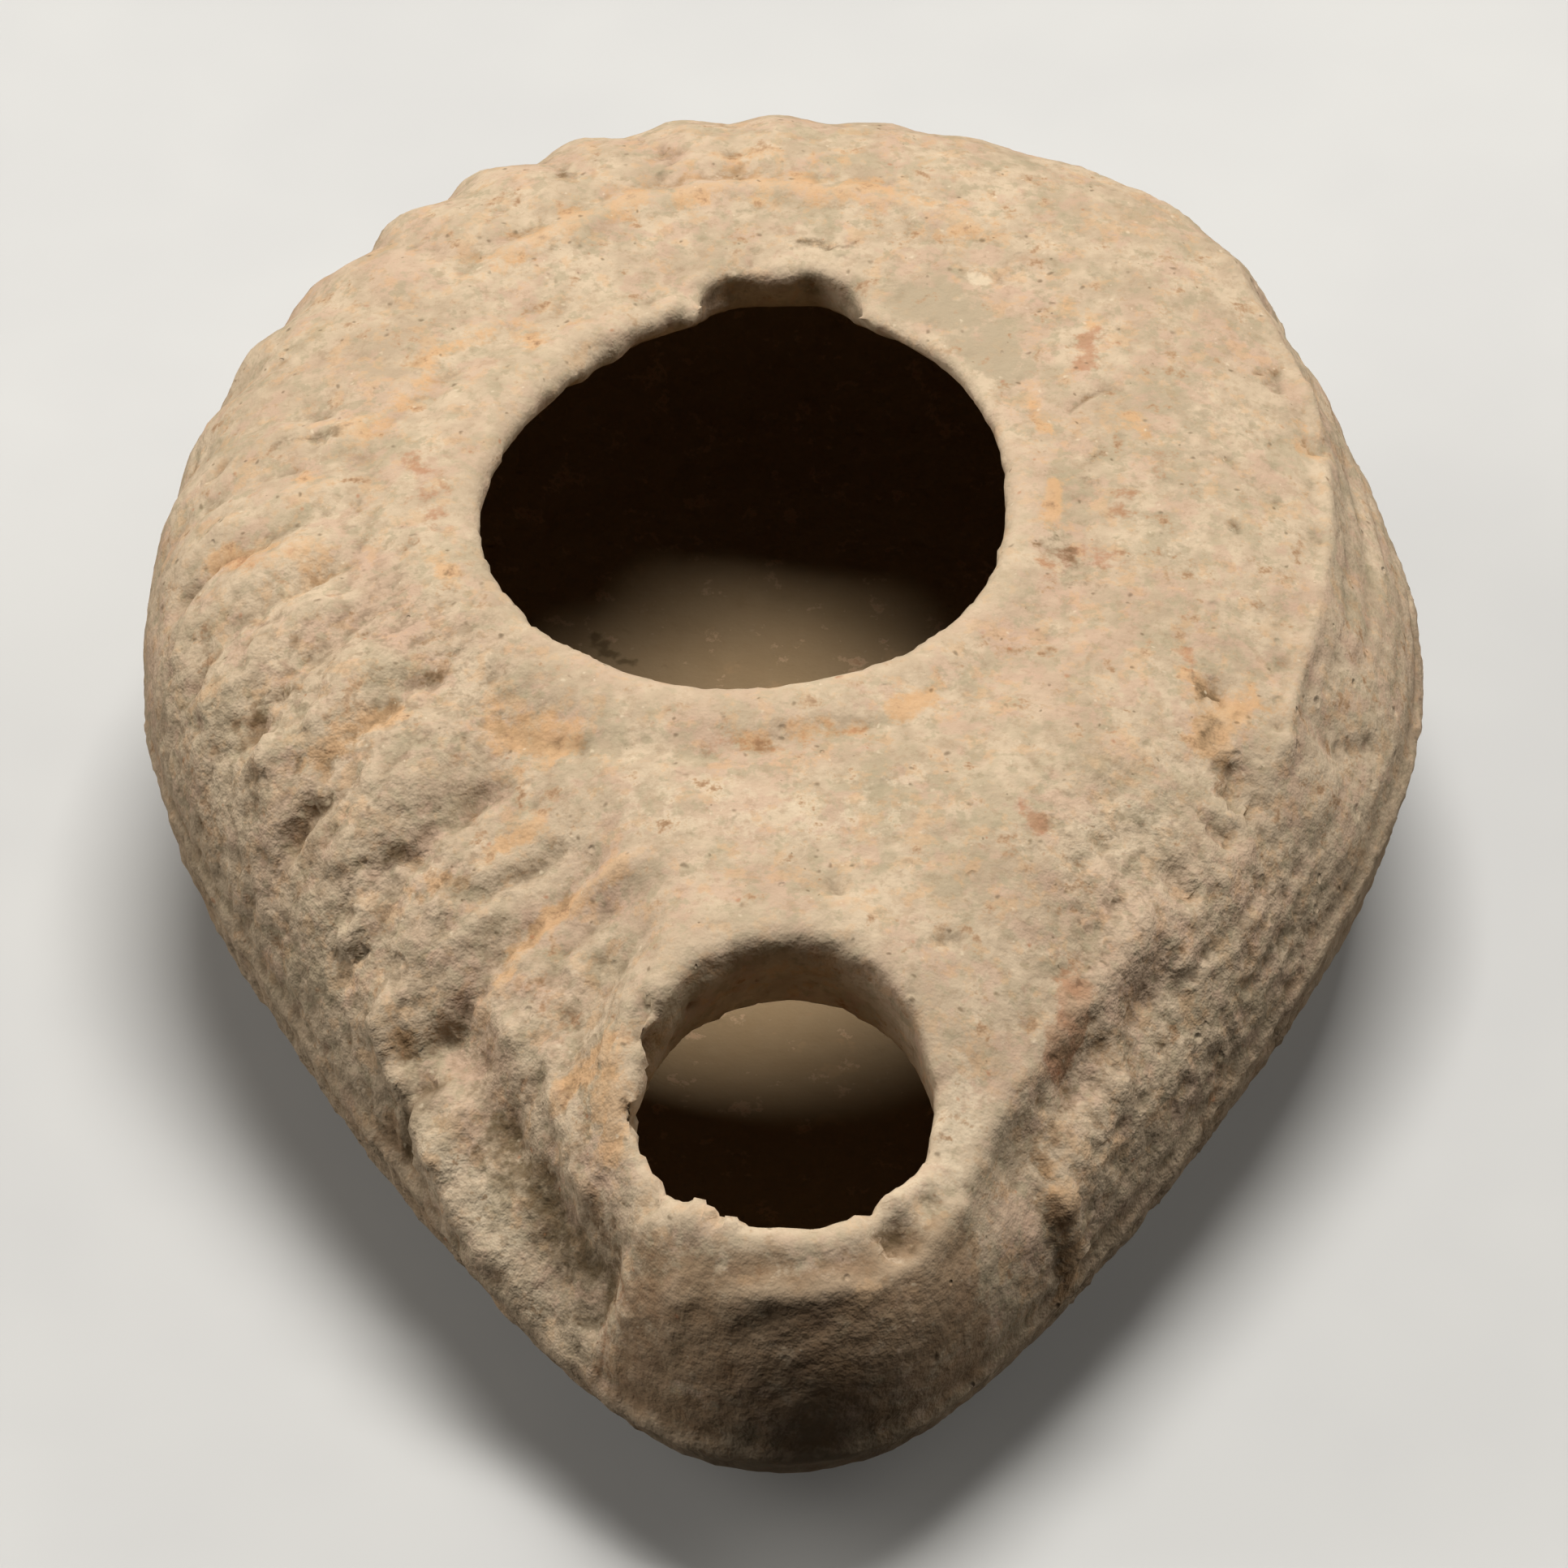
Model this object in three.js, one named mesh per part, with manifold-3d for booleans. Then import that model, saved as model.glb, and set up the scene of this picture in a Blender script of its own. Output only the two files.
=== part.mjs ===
// A mould-made Roman oil lamp in fired clay: one hollow shell with a filling hole and a wick hole.
// Millimetres, +Z up, the nozzle toward -Y, standing on its ring foot at z = 0.
// The shape is first drawn about the centre of the round body, then moved so that the origin
// lies under the middle of the whole lamp.
import * as THREE from "three";
import { mergeVertices } from "three/addons/utils/BufferGeometryUtils.js";
import Module from "manifold-3d";

// Plan outline: a body circle, a little longer at the rear, and a nozzle circle, joined by
// slightly swelling flanks.
const BODY_RADIUS = 35.2;
const NOZZLE_RADIUS = 10.5;
const NOZZLE_REACH = 44.5;
const FLANK_SOFTNESS = 2;
const REAR_STRETCH = 1.115;
const REAR_RIGHT_BULGE = 0.9;
const REAR_RIGHT_FACING = 2.35;

// Heights of the two mould halves. The upper half sits a little turned on the lower one, so a
// ledge of the lower half shows on the right of the body and on the left of the nozzle.
const BELT_HEIGHT = 15;
const BELT_DROP = 6;
const BELT_DROP_FROM = -8;
const BELT_DROP_TO = -52;
const RIM_HEIGHT = 28.2;
const NOZZLE_DROP = 0.0085;
const NOZZLE_DROP_FROM = -20;
const REAR_RISE = 1;
const REAR_RISE_FROM = 14;
const REAR_RISE_TO = 32;
const SHOULDER_POWER = 6;
const REAR_SHOULDER_POWER = 9;
const NOZZLE_SHOULDER_POWER = 3.4;
const NOZZLE_TIP_POWER = 8;
const SHOULDER_ROUND = 2;
const REAR_SHIFT = -0.3;
const BODY_SHIFT = -1.6;
const NOZZLE_SHIFT = 1.2;

// Underside: a low ring foot under a full bowl.
const FOOT_CENTRE_Y = -6;
const FOOT_RADIUS = 15.5;
const FOOT_WIDTH = 3;
const FOOT_HEIGHT = 1.3;
const FOOT_SLOPE = 0.8;
const BOWL_FULLNESS = 2.4;

// Wall and chamber.
const BODY_WALL = 4;
const NOZZLE_WALL = 3;
const FLOOR_HEIGHT = 4.6;
const NOZZLE_FLOOR_HEIGHT = 6;
const CHAMBER_LIFT = 2.5;
const RIM_THICKNESS = 2.7;
const NOZZLE_THICKNESS = 6.2;
const CHAMBER_SHOULDER_POWER = 3.6;

// Holes.
const FILL_CENTRE = new THREE.Vector2(-2.3, -1.8);
const FILL_RADIUS = 14.3;
const FILL_BEVEL = 0.6;
const FILL_BROKEN_STRETCH = 1.28;
const FILL_BROKEN_SWING = 0.12;
const FILL_UNDERCUT = 1.5;
const WICK_CENTRE = new THREE.Vector2(0.1, -42.5);
const WICK_RADIUS = 7.8;
const WICK_LEAN = THREE.MathUtils.degToRad(14);
const WICK_STRETCH = 1.07;

// Moulded relief: a raised rim band, fan ribs, a boss round the wick hole with a sunk ledge.
const BAND_WIDTH = 3.6;
const BAND_RISE = 0.55;
const GROOVE_DEPTH = 0.25;
const RIB_COUNT = 38;
const RIB_RISE = 0.5;
const RIB_SKEW = 0.27;
const RIB_REACH = 15;
const SCALLOP_RISE = 0.45;
const BOSS_RADIUS = 11.6;
const BOSS_RISE = 0.8;
const LEDGE_DEPTH = 3;
const EDGE_RIDGE = 0.7;
const EDGE_DEPTH = 4.2;

// Knocks and pits: place on the plan from the body's centre, width and depth.
const LOSSES = [
  { x: 25, y: -21, width: 2.6, deep: 1.5 },
  { x: 20.5, y: -26, width: 2, deep: 0.7 },
  { x: 29, y: -12, width: 1.6, deep: 0.6 },
  { x: -27.5, y: -14, width: 1.5, deep: 0.9 },
  { x: -25, y: 9, width: 1.4, deep: 0.8 },
  { x: 4.6, y: -50.6, width: 1.8, deep: 0.9 },
];
const NOTCH_SIZE = new THREE.Vector3(4.6, 2.8, 5);
const NOTCH_OFFSET_X = 2;
const NOTCH_HEIGHT = 26.2;

// Resolution of the skins.
const OUTLINE_STEPS = 720;
const OUTER_COLUMNS = 4 * RIB_COUNT;
const INNER_COLUMNS = 56;
const OUTER_FRACTIONS = [
  1, 0.992, 0.97, 0.935, 0.89, 0.84, 0.785, 0.73, 0.67, 0.61, 0.55, 0.5, 0.44, 0.36, 0.24, 0.12, 0,
];
const INNER_FRACTIONS = [1, 0.985, 0.94, 0.87, 0.77, 0.64, 0.48, 0.3, 0];
const BOWL_STEPS = 5;
const FILL_SIDES = 48;
const WICK_SIDES = 32;

// The teardrop outline: a body circle and a nozzle circle blended by their support functions.
// It is followed by arc length from the nozzle tip, positive on the +X side.
class Outline {
  constructor(bodyRadius, nozzleRadius, reach) {
    this.bodyRadius = bodyRadius;
    this.nozzleRadius = nozzleRadius;
    this.reach = reach;
    this.walk = [{ angle: 0, along: 0 }];
    for (let i = 1; i <= OUTLINE_STEPS; i += 1) {
      const angle = (Math.PI * i) / OUTLINE_STEPS;
      const last = this.walk[i - 1];
      const stride = this.edge(angle).distanceTo(this.edge(last.angle));
      this.walk.push({ angle, along: last.along + stride });
    }
    this.half = this.walk[OUTLINE_STEPS].along;
  }

  // The spine point, outward direction and distance from spine to edge where the outline faces
  // an angle, measured from the nozzle's own direction.
  facing(angle) {
    const lead = this.nozzleRadius + this.reach * Math.cos(angle) - this.bodyRadius;
    const share = 1 / (1 + Math.exp(-lead / FLANK_SOFTNESS));
    const support = this.bodyRadius + FLANK_SOFTNESS * Math.log1p(Math.exp(lead / FLANK_SOFTNESS));
    const spine = new THREE.Vector2(0, -share * this.reach);
    const normal = new THREE.Vector2(Math.sin(angle), -Math.cos(angle));
    normal.y *= normal.y > 0 ? REAR_STRETCH : 1;
    return { spine, normal, radius: support - share * this.reach * Math.cos(angle) };
  }

  edge(angle) {
    const { spine, normal, radius } = this.facing(angle);
    return spine.addScaledVector(normal, radius);
  }

  at(arc) {
    const along = Math.min(Math.abs(arc), this.half);
    const i = Math.max(1, this.walk.findIndex((step) => step.along >= along));
    const [low, high] = [this.walk[i - 1], this.walk[i]];
    const part = (along - low.along) / (high.along - low.along);
    const angle = THREE.MathUtils.lerp(low.angle, high.angle, part);
    const place = this.facing((Math.sign(arc) || 1) * angle);
    place.radius += arc > 0 ? REAR_RIGHT_BULGE * bump(angle - REAR_RIGHT_FACING, 0.42) : 0;
    return place;
  }

  beltPoint(arc) {
    const { spine, normal, radius } = this.at(arc);
    return spine.addScaledVector(normal, radius);
  }

  arcs(columns) {
    const step = (2 * this.half) / columns;
    return Array.from({ length: columns }, (_, i) => -this.half + step * (i + 0.5));
  }
}

// A smooth step from 0 at one value to 1 at another, whichever of the two is larger.
function ease(from, to, value) {
  const part = THREE.MathUtils.clamp((value - from) / (to - from), 0, 1);
  return part * part * (3 - 2 * part);
}

const bump = (value, width) => Math.exp(-((value / width) ** 2));

// The height of the top along the length of the lamp.
function crest(y) {
  const front = Math.max(0, NOZZLE_DROP_FROM - y);
  return RIM_HEIGHT - NOZZLE_DROP * front ** 2 + REAR_RISE * ease(REAR_RISE_FROM, REAR_RISE_TO, y);
}

// The height of the widest line, which runs down toward the nozzle.
function beltHeight(y) {
  return BELT_HEIGHT - BELT_DROP * ease(BELT_DROP_FROM, BELT_DROP_TO, y);
}

// How far the upper half is out of line with the lower one.
function halfShift(y) {
  const front = THREE.MathUtils.lerp(BODY_SHIFT, NOZZLE_SHIFT, ease(-8, -46, y));
  return THREE.MathUtils.lerp(front, REAR_SHIFT, ease(2, 30, y));
}

// How square the shoulder is along the lamp.
function shoulderPower(y) {
  const flank = THREE.MathUtils.lerp(SHOULDER_POWER, NOZZLE_SHOULDER_POWER, ease(-14, -34, y));
  const front = THREE.MathUtils.lerp(flank, NOZZLE_TIP_POWER, ease(-45, -53, y));
  return THREE.MathUtils.lerp(front, REAR_SHOULDER_POWER, ease(5, 30, y));
}

// How far the top has risen from the belt at a fraction of the way out from the spine.
function shoulder(fraction, power) {
  return (1 - fraction ** power) ** (1 / SHOULDER_ROUND);
}

function beyondRim(x, y) {
  return Math.hypot(x - FILL_CENTRE.x, y - FILL_CENTRE.y) - FILL_RADIUS;
}

function wickDistance(x, y) {
  return Math.hypot(x - WICK_CENTRE.x, y - WICK_CENTRE.y);
}

// The raised band round the filling hole and the faint groove outside it.
function rimBand(x, y) {
  const out = beyondRim(x, y);
  const band = BAND_RISE * (1 - ease(BAND_WIDTH - 0.8, BAND_WIDTH + 0.8, out));
  return band - GROOVE_DEPTH * bump(out - BAND_WIDTH - 1.6, 1.2);
}

// The fan of ribs, crisp on the left and at the rear, worn away on the right shoulder.
function ribs(x, y, wave, depth, fraction) {
  const clearOfBand = ease(BAND_WIDTH, BAND_WIDTH + 3, beyondRim(x, y));
  const clearOfBoss = ease(BOSS_RADIUS + 1, BOSS_RADIUS + 5, wickDistance(x, y));
  const kept = (1 - 0.92 * ease(-2, 9, x)) * (1 - 0.7 * ease(-4, 10, y));
  const reach = (1 - ease(RIB_REACH - 4, RIB_REACH + 2, depth)) * ease(0.34, 0.6, fraction);
  return RIB_RISE * wave * clearOfBand * clearOfBoss * kept * reach;
}

// The boss round the wick hole stands proud of a sunk ledge on the left and in front.
function nozzleRelief(x, y, arc, depth, fraction) {
  const clearOfSpine = ease(0.3, 0.6, fraction);
  const inBoss = ease(BOSS_RADIUS + 1.7, BOSS_RADIUS - 1.7, wickDistance(x, y));
  const onLeft = ease(4, -5, arc) * ease(-46, -30, arc) * clearOfSpine;
  const sunk = LEDGE_DEPTH * onLeft * (1 - inBoss) * ease(0.3, 3, depth);
  return BOSS_RISE * inBoss * ease(14, -6, arc * clearOfSpine) - sunk;
}

// The sharp upper edge of the wall, plainest on the right where the halves are out of line.
function edgeRidge(x, depth) {
  return EDGE_RIDGE * bump(depth - EDGE_DEPTH, 1.6) * ease(12, 24, x);
}

// The outer ends of the ribs, which scallop the rear edge, least on the right.
function scallops(x, y, wave, depth) {
  return SCALLOP_RISE * wave * bump(depth - 2, 2.4) * ease(2, 16, y) * (1 - 0.6 * ease(2, 14, x));
}

// The gouge in the right shoulder and the smaller losses about the top.
function losses(x, y) {
  const lost = LOSSES.map((hit) => hit.deep * bump(Math.hypot(x - hit.x, y - hit.y), hit.width));
  return lost.reduce((sum, deep) => sum + deep, 0);
}

// A closed skin from rows of points: the first and last rows close on a shared spine.
// Each cell is split along its shorter diagonal, which keeps slanting relief smooth.
function skin(rows) {
  const columns = rows[0].length;
  const points = rows.flat();
  const positions = points.flatMap((p) => [p.x, p.y, p.z]);
  const index = [];
  for (let r = 0; r + 1 < rows.length; r += 1) {
    for (let c = 0; c < columns; c += 1) {
      const next = (c + 1) % columns;
      const a = r * columns + c;
      const b = r * columns + next;
      const d = (r + 1) * columns + c;
      const e = (r + 1) * columns + next;
      if (points[a].distanceTo(points[e]) < points[b].distanceTo(points[d])) {
        index.push(a, b, e, a, e, d);
      } else {
        index.push(a, b, d, b, e, d);
      }
    }
  }
  const geometry = new THREE.BufferGeometry();
  geometry.setAttribute("position", new THREE.Float32BufferAttribute(positions, 3));
  geometry.setIndex(index);
  return geometry;
}

// A column's place along the outline, leant so that the outer ends of the ribs slant forward.
function leant(arc, fraction, outline) {
  const { radius } = outline.at(arc);
  const along = Math.abs(arc) / outline.half;
  const kept = ease(0.22, 0.36, along) * (1 - ease(0.72, 1, along)) * ease(0, 0.5, fraction);
  return arc + Math.sign(arc) * RIB_SKEW * radius * (1 - fraction) * kept;
}

// One point of the upper half, at a column's arc and a fraction of the way out from the spine.
function upperPoint(arc, fraction, outline) {
  const { spine, normal, radius } = outline.at(leant(arc, fraction, outline));
  const { x, y } = spine.clone().addScaledVector(normal, radius * fraction);
  const depth = radius * (1 - fraction);
  const rise = shoulder(fraction, shoulderPower(y));
  const wave = Math.cos((Math.PI * RIB_COUNT * arc) / outline.half);
  const moulded = ribs(x, y, wave, depth, fraction) + rimBand(x, y);
  const nozzle = nozzleRelief(x, y, arc, depth, fraction);
  const out = edgeRidge(x, depth) + scallops(x, y, wave, depth);
  const belt = beltHeight(y);
  return new THREE.Vector3(
    x + halfShift(y) * rise + normal.x * out,
    y + normal.y * out,
    belt + (crest(y) - belt + moulded + nozzle - losses(x, y) + 0.5 * out) * rise,
  );
}

// Rings of the underside, from the middle of the foot over the foot ring and up the bowl.
function lowerRows(belt) {
  const footCentre = new THREE.Vector2(0, FOOT_CENTRE_Y);
  const ring = (radius, z) =>
    belt.map((p) => {
      const out = p.clone().sub(footCentre).setLength(radius).add(footCentre);
      return new THREE.Vector3(out.x, out.y, z);
    });
  const rows = [
    ring(0, FOOT_HEIGHT),
    ring(FOOT_RADIUS - FOOT_WIDTH - FOOT_SLOPE, FOOT_HEIGHT),
    ring(FOOT_RADIUS - FOOT_WIDTH, 0),
    ring(FOOT_RADIUS, 0),
  ];
  const start = ring(FOOT_RADIUS + FOOT_SLOPE, FOOT_HEIGHT);
  for (let i = 0; i < BOWL_STEPS; i += 1) {
    const turn = (Math.PI / 2) * (i / BOWL_STEPS);
    const out = Math.sin(turn) ** (2 / BOWL_FULLNESS);
    rows.push(start.map((p, c) => {
      const rim = new THREE.Vector3(belt[c].x, belt[c].y, beltHeight(belt[c].y));
      const height = THREE.MathUtils.lerp(FOOT_HEIGHT, rim.z, 1 - Math.cos(turn));
      return p.clone().lerp(rim, out).setZ(height);
    }));
  }
  return rows;
}

function outerRows() {
  const outline = new Outline(BODY_RADIUS, NOZZLE_RADIUS, NOZZLE_REACH);
  const arcs = outline.arcs(OUTER_COLUMNS);
  const belt = arcs.map((arc) => outline.beltPoint(arc));
  const upper = OUTER_FRACTIONS.map((fraction) => arcs.map((arc) => upperPoint(arc, fraction, outline)));
  return [...lowerRows(belt), ...upper];
}

// The height at which the chamber is widest.
function chamberMiddle(y) {
  return beltHeight(y) + CHAMBER_LIFT * ease(BELT_DROP_FROM, BELT_DROP_TO, y);
}

function innerRows() {
  const outline = new Outline(BODY_RADIUS - BODY_WALL, NOZZLE_RADIUS - NOZZLE_WALL, NOZZLE_REACH);
  const edges = outline.arcs(INNER_COLUMNS).map((arc) => outline.at(arc));
  const place = ({ spine, normal, radius }, fraction) => {
    const { x, y } = spine.clone().addScaledVector(normal, radius * fraction);
    return new THREE.Vector3(x, y, chamberMiddle(y));
  };
  const floor = INNER_FRACTIONS.slice(1).reverse().map((fraction) =>
    edges.map((edge) => {
      const p = place(edge, fraction);
      const bottom = THREE.MathUtils.lerp(FLOOR_HEIGHT, NOZZLE_FLOOR_HEIGHT, ease(-18, -46, p.y));
      return p.setZ(THREE.MathUtils.lerp(p.z, bottom, shoulder(fraction, BOWL_FULLNESS)));
    }),
  );
  const ceiling = INNER_FRACTIONS.map((fraction) =>
    edges.map((edge) => {
      const p = place(edge, fraction);
      const thickness = THREE.MathUtils.lerp(RIM_THICKNESS, NOZZLE_THICKNESS, ease(-16, -34, p.y));
      const rise = shoulder(fraction, CHAMBER_SHOULDER_POWER);
      p.x += halfShift(p.y) * rise;
      return p.setZ(THREE.MathUtils.lerp(p.z, crest(p.y) - thickness, rise));
    }),
  );
  return [...floor, ...ceiling];
}

// A round cutter on the Z axis, from a list of [radius, height] points.
function turned(profile, segments) {
  const points = profile.map(([radius, height]) => new THREE.Vector2(radius, height));
  return new THREE.LatheGeometry(points, segments).rotateX(Math.PI / 2);
}

// The filling hole, round in front, with the rear of its rim broken back.
function fillingHole() {
  const top = RIM_HEIGHT + BAND_RISE;
  const inside = BELT_HEIGHT + 2;
  const cutter = turned([
    [0, inside],
    [FILL_RADIUS + FILL_UNDERCUT, inside],
    [FILL_RADIUS + FILL_UNDERCUT, top - RIM_THICKNESS - 0.6],
    [FILL_RADIUS - 0.2, top - 1.2],
    [FILL_RADIUS + FILL_BEVEL, top + 0.4],
    [FILL_RADIUS + FILL_BEVEL, top + 6],
    [0, top + 6],
  ], FILL_SIDES);
  const place = cutter.getAttribute("position");
  for (let i = 0; i < place.count; i += 1) {
    const rear = Math.max(0, place.getY(i));
    place.setX(i, place.getX(i) + FILL_BROKEN_SWING * rear);
    place.setY(i, place.getY(i) + (FILL_BROKEN_STRETCH - 1) * rear);
  }
  return cutter.translate(FILL_CENTRE.x, FILL_CENTRE.y, 0);
}

function wickHole() {
  const top = crest(WICK_CENTRE.y);
  const cutter = turned([
    [0, -8],
    [WICK_RADIUS + 0.3, -8],
    [WICK_RADIUS - 0.1, -0.6],
    [WICK_RADIUS + 0.5, 1.4],
    [WICK_RADIUS + 0.5, 8],
    [0, 8],
  ], WICK_SIDES);
  cutter.scale(1, WICK_STRETCH, 1).rotateX(WICK_LEAN);
  return cutter.translate(WICK_CENTRE.x, WICK_CENTRE.y, top);
}

// The broken notch in the rear of the filling hole's rim.
function rimNotch() {
  const chip = new THREE.IcosahedronGeometry(1, 2);
  const place = chip.getAttribute("position");
  for (let i = 0; i < place.count; i += 1) {
    const x = place.getX(i);
    const y = place.getY(i);
    const uneven = 1 + 0.12 * Math.sin(5 * x + 2) * Math.cos(4 * y);
    place.setXYZ(i, x * uneven, y * uneven, place.getZ(i));
  }
  chip.scale(...NOTCH_SIZE.toArray());
  const rearEdge = FILL_CENTRE.y + FILL_RADIUS * FILL_BROKEN_STRETCH;
  return chip.translate(FILL_CENTRE.x + NOTCH_OFFSET_X, rearEdge, NOTCH_HEIGHT);
}

const wasm = await Module();
wasm.setup();

function solid(geometry) {
  const bare = geometry.clone();
  bare.deleteAttribute("normal");
  bare.deleteAttribute("uv");
  const merged = mergeVertices(bare, 1e-4);
  return new wasm.Manifold(new wasm.Mesh({
    numProp: 3,
    vertProperties: merged.attributes.position.array,
    triVerts: new Uint32Array(merged.index.array),
  }));
}

function geometryOf(manifold) {
  const mesh = manifold.getMesh();
  const geometry = new THREE.BufferGeometry();
  geometry.setAttribute("position", new THREE.Float32BufferAttribute(mesh.vertProperties, 3));
  geometry.setIndex([...mesh.triVerts]);
  geometry.computeVertexNormals();
  return geometry;
}

const shell = solid(skin(outerRows()))
  .subtract(solid(skin(innerRows())))
  .subtract(solid(fillingHole()))
  .subtract(solid(wickHole()))
  .subtract(solid(rimNotch()));

const lampGeometry = geometryOf(shell);
lampGeometry.computeBoundingBox();
const middle = lampGeometry.boundingBox.getCenter(new THREE.Vector3());
lampGeometry.translate(-middle.x, -middle.y, 0);

const firedClay = new THREE.MeshStandardMaterial({ color: 0xb39a7c, roughness: 0.93, metalness: 0 });
const lamp = new THREE.Mesh(lampGeometry, firedClay);
lamp.name = "lamp";

const oilLamp = new THREE.Group();
oilLamp.add(lamp);

export default oilLamp;
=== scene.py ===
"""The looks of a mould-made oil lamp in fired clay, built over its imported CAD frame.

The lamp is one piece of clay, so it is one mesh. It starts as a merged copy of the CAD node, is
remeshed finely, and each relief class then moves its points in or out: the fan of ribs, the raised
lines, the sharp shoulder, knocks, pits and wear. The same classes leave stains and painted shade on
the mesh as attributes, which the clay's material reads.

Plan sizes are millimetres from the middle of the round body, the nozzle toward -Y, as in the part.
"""

import logging
import math
from dataclasses import dataclass, field
from enum import Enum
from typing import ClassVar

import bmesh
import bpy
import numpy as np
from mathutils import Euler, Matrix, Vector, noise


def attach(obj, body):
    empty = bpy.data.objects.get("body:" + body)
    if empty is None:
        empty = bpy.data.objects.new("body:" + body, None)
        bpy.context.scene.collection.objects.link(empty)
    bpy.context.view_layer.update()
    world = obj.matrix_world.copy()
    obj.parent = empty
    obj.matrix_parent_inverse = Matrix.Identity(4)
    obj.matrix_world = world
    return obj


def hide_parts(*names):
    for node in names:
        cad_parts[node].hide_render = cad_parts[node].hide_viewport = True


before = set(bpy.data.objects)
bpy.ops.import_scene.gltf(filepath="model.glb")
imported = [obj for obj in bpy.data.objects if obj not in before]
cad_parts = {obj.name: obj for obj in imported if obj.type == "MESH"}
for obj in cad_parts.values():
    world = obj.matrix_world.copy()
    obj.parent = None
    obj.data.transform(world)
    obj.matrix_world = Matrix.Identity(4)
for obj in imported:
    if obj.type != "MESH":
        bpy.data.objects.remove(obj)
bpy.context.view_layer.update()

MM = 0.001
BODY_MIDDLE_Y = 7.79
SEED_STEP = 13.7

Line = tuple[tuple[float, float], ...]


class Stain(Enum):
    """A colour on the clay, named as the mesh attribute that carries it, or painted shade."""

    ORANGE = "orange"
    RED = "red"
    DIRT = "dirt"
    PALE = "pale"
    GREY = "grey"
    INSIDE = "inside"
    LOWER = "lower"
    COARSE = "coarse"
    HOLLOW = "hollow"
    WORN = "worn"
    BROWN = "brown"


def ease(start: float, end: float, value: np.ndarray) -> np.ndarray:
    """Give a smooth step from 0 at start to 1 at end, whichever of the two is larger."""
    part = np.clip((value - start) / (end - start), 0.0, 1.0)
    return part * part * (3.0 - 2.0 * part)


def bump(value: np.ndarray, width: float) -> np.ndarray:
    """Give a bell of height 1 about 0, down to about a third at its width."""
    return np.exp(-((value / width) ** 2))


def lumps(points: np.ndarray, size: float, seed: float) -> np.ndarray:
    """Give smooth noise between about -1 and 1.

    Args:
        points: Places in millimetres, one row each.
        size: How far apart the lumps are, in millimetres.
        seed: A number that picks one pattern of lumps.

    Returns:
        The noise at each place.
    """
    spread = points / size + seed * SEED_STEP
    return np.array([noise.noise(place) for place in spread.tolist()])


def distance_to_line(x: np.ndarray, y: np.ndarray, line: Line) -> np.ndarray:
    """Measure how far points on the plan are from a bent line.

    Args:
        x: Plan x of the points.
        y: Plan y of the points.
        line: The line's corners.

    Returns:
        The distance of each point from the nearest place on the line.
    """
    nearest = np.full(x.shape, np.inf)
    for (x0, y0), (x1, y1) in zip(line, line[1:]):
        run = (x1 - x0) ** 2 + (y1 - y0) ** 2
        part = np.clip(((x - x0) * (x1 - x0) + (y - y0) * (y1 - y0)) / run, 0.0, 1.0)
        gap = np.hypot(x - x0 - part * (x1 - x0), y - y0 - part * (y1 - y0))
        nearest = np.minimum(nearest, gap)
    return nearest


@dataclass(frozen=True)
class Outline:
    """The teardrop plan: a body circle and a nozzle circle blended by their support functions."""

    body_radius: float = 35.2
    nozzle_radius: float = 10.5
    reach: float = 44.5
    softness: float = 2.0
    rear_stretch: float = 1.115
    bulge: float = 0.9
    bulge_facing: float = 2.35
    bulge_spread: float = 0.42
    steps: int = 720

    def facing(self, angle: np.ndarray) -> tuple[np.ndarray, np.ndarray, np.ndarray, np.ndarray]:
        """Find the outline where it faces an angle, measured from the nozzle's direction.

        Args:
            angle: Angles in radians.

        Returns:
            The spine point's y, the outward direction's x and y, and the distance out.
        """
        lead = self.nozzle_radius + self.reach * np.cos(angle) - self.body_radius
        share = 1.0 / (1.0 + np.exp(-lead / self.softness))
        support = self.body_radius + self.softness * np.log1p(np.exp(lead / self.softness))
        out_y = -np.cos(angle)
        out_y = np.where(out_y > 0, out_y * self.rear_stretch, out_y)
        radius = support - share * self.reach * np.cos(angle)
        return -share * self.reach, np.sin(angle), out_y, radius

    def walk(self) -> tuple[np.ndarray, np.ndarray]:
        """Follow the outline from the nozzle tip to the rear.

        Returns:
            The angles faced on the way, and the length of outline up to each.
        """
        angles = np.linspace(0.0, math.pi, self.steps + 1)
        spine_y, out_x, out_y, radius = self.facing(angles)
        strides = np.hypot(np.diff(out_x * radius), np.diff(spine_y + out_y * radius))
        return angles, np.concatenate([[0.0], np.cumsum(strides)])

    def locate(self, x: np.ndarray, y: np.ndarray) -> tuple[np.ndarray, np.ndarray, np.ndarray]:
        """Find which part of the outline plan points belong to.

        Args:
            x: Plan x of the points.
            y: Plan y of the points.

        Returns:
            The place along the outline, + on the +X side, the fraction of the way out from the
            spine, and the distance from spine to edge there.
        """
        side = np.abs(x)
        low = np.zeros(x.shape)
        high = np.full(x.shape, math.pi)
        for _ in range(32):
            middle = (low + high) / 2
            spine_y, out_x, out_y, radius = self.facing(middle)
            behind = side * out_y - (y - spine_y) * out_x < 0
            low = np.where(behind, middle, low)
            high = np.where(behind, high, middle)
        spine_y, out_x, out_y, radius = self.facing(low)
        radius = radius + self.bulge * bump(low - self.bulge_facing, self.bulge_spread) * (x > 0)
        reach = (side * out_x + (y - spine_y) * out_y) / (out_x**2 + out_y**2)
        along = np.interp(low, *self.walk())
        return np.where(x < 0, -along, along), reach / radius, radius

    def half(self) -> float:
        """Give the length of outline from nozzle tip to rear."""
        return float(self.walk()[1][-1])


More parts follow.
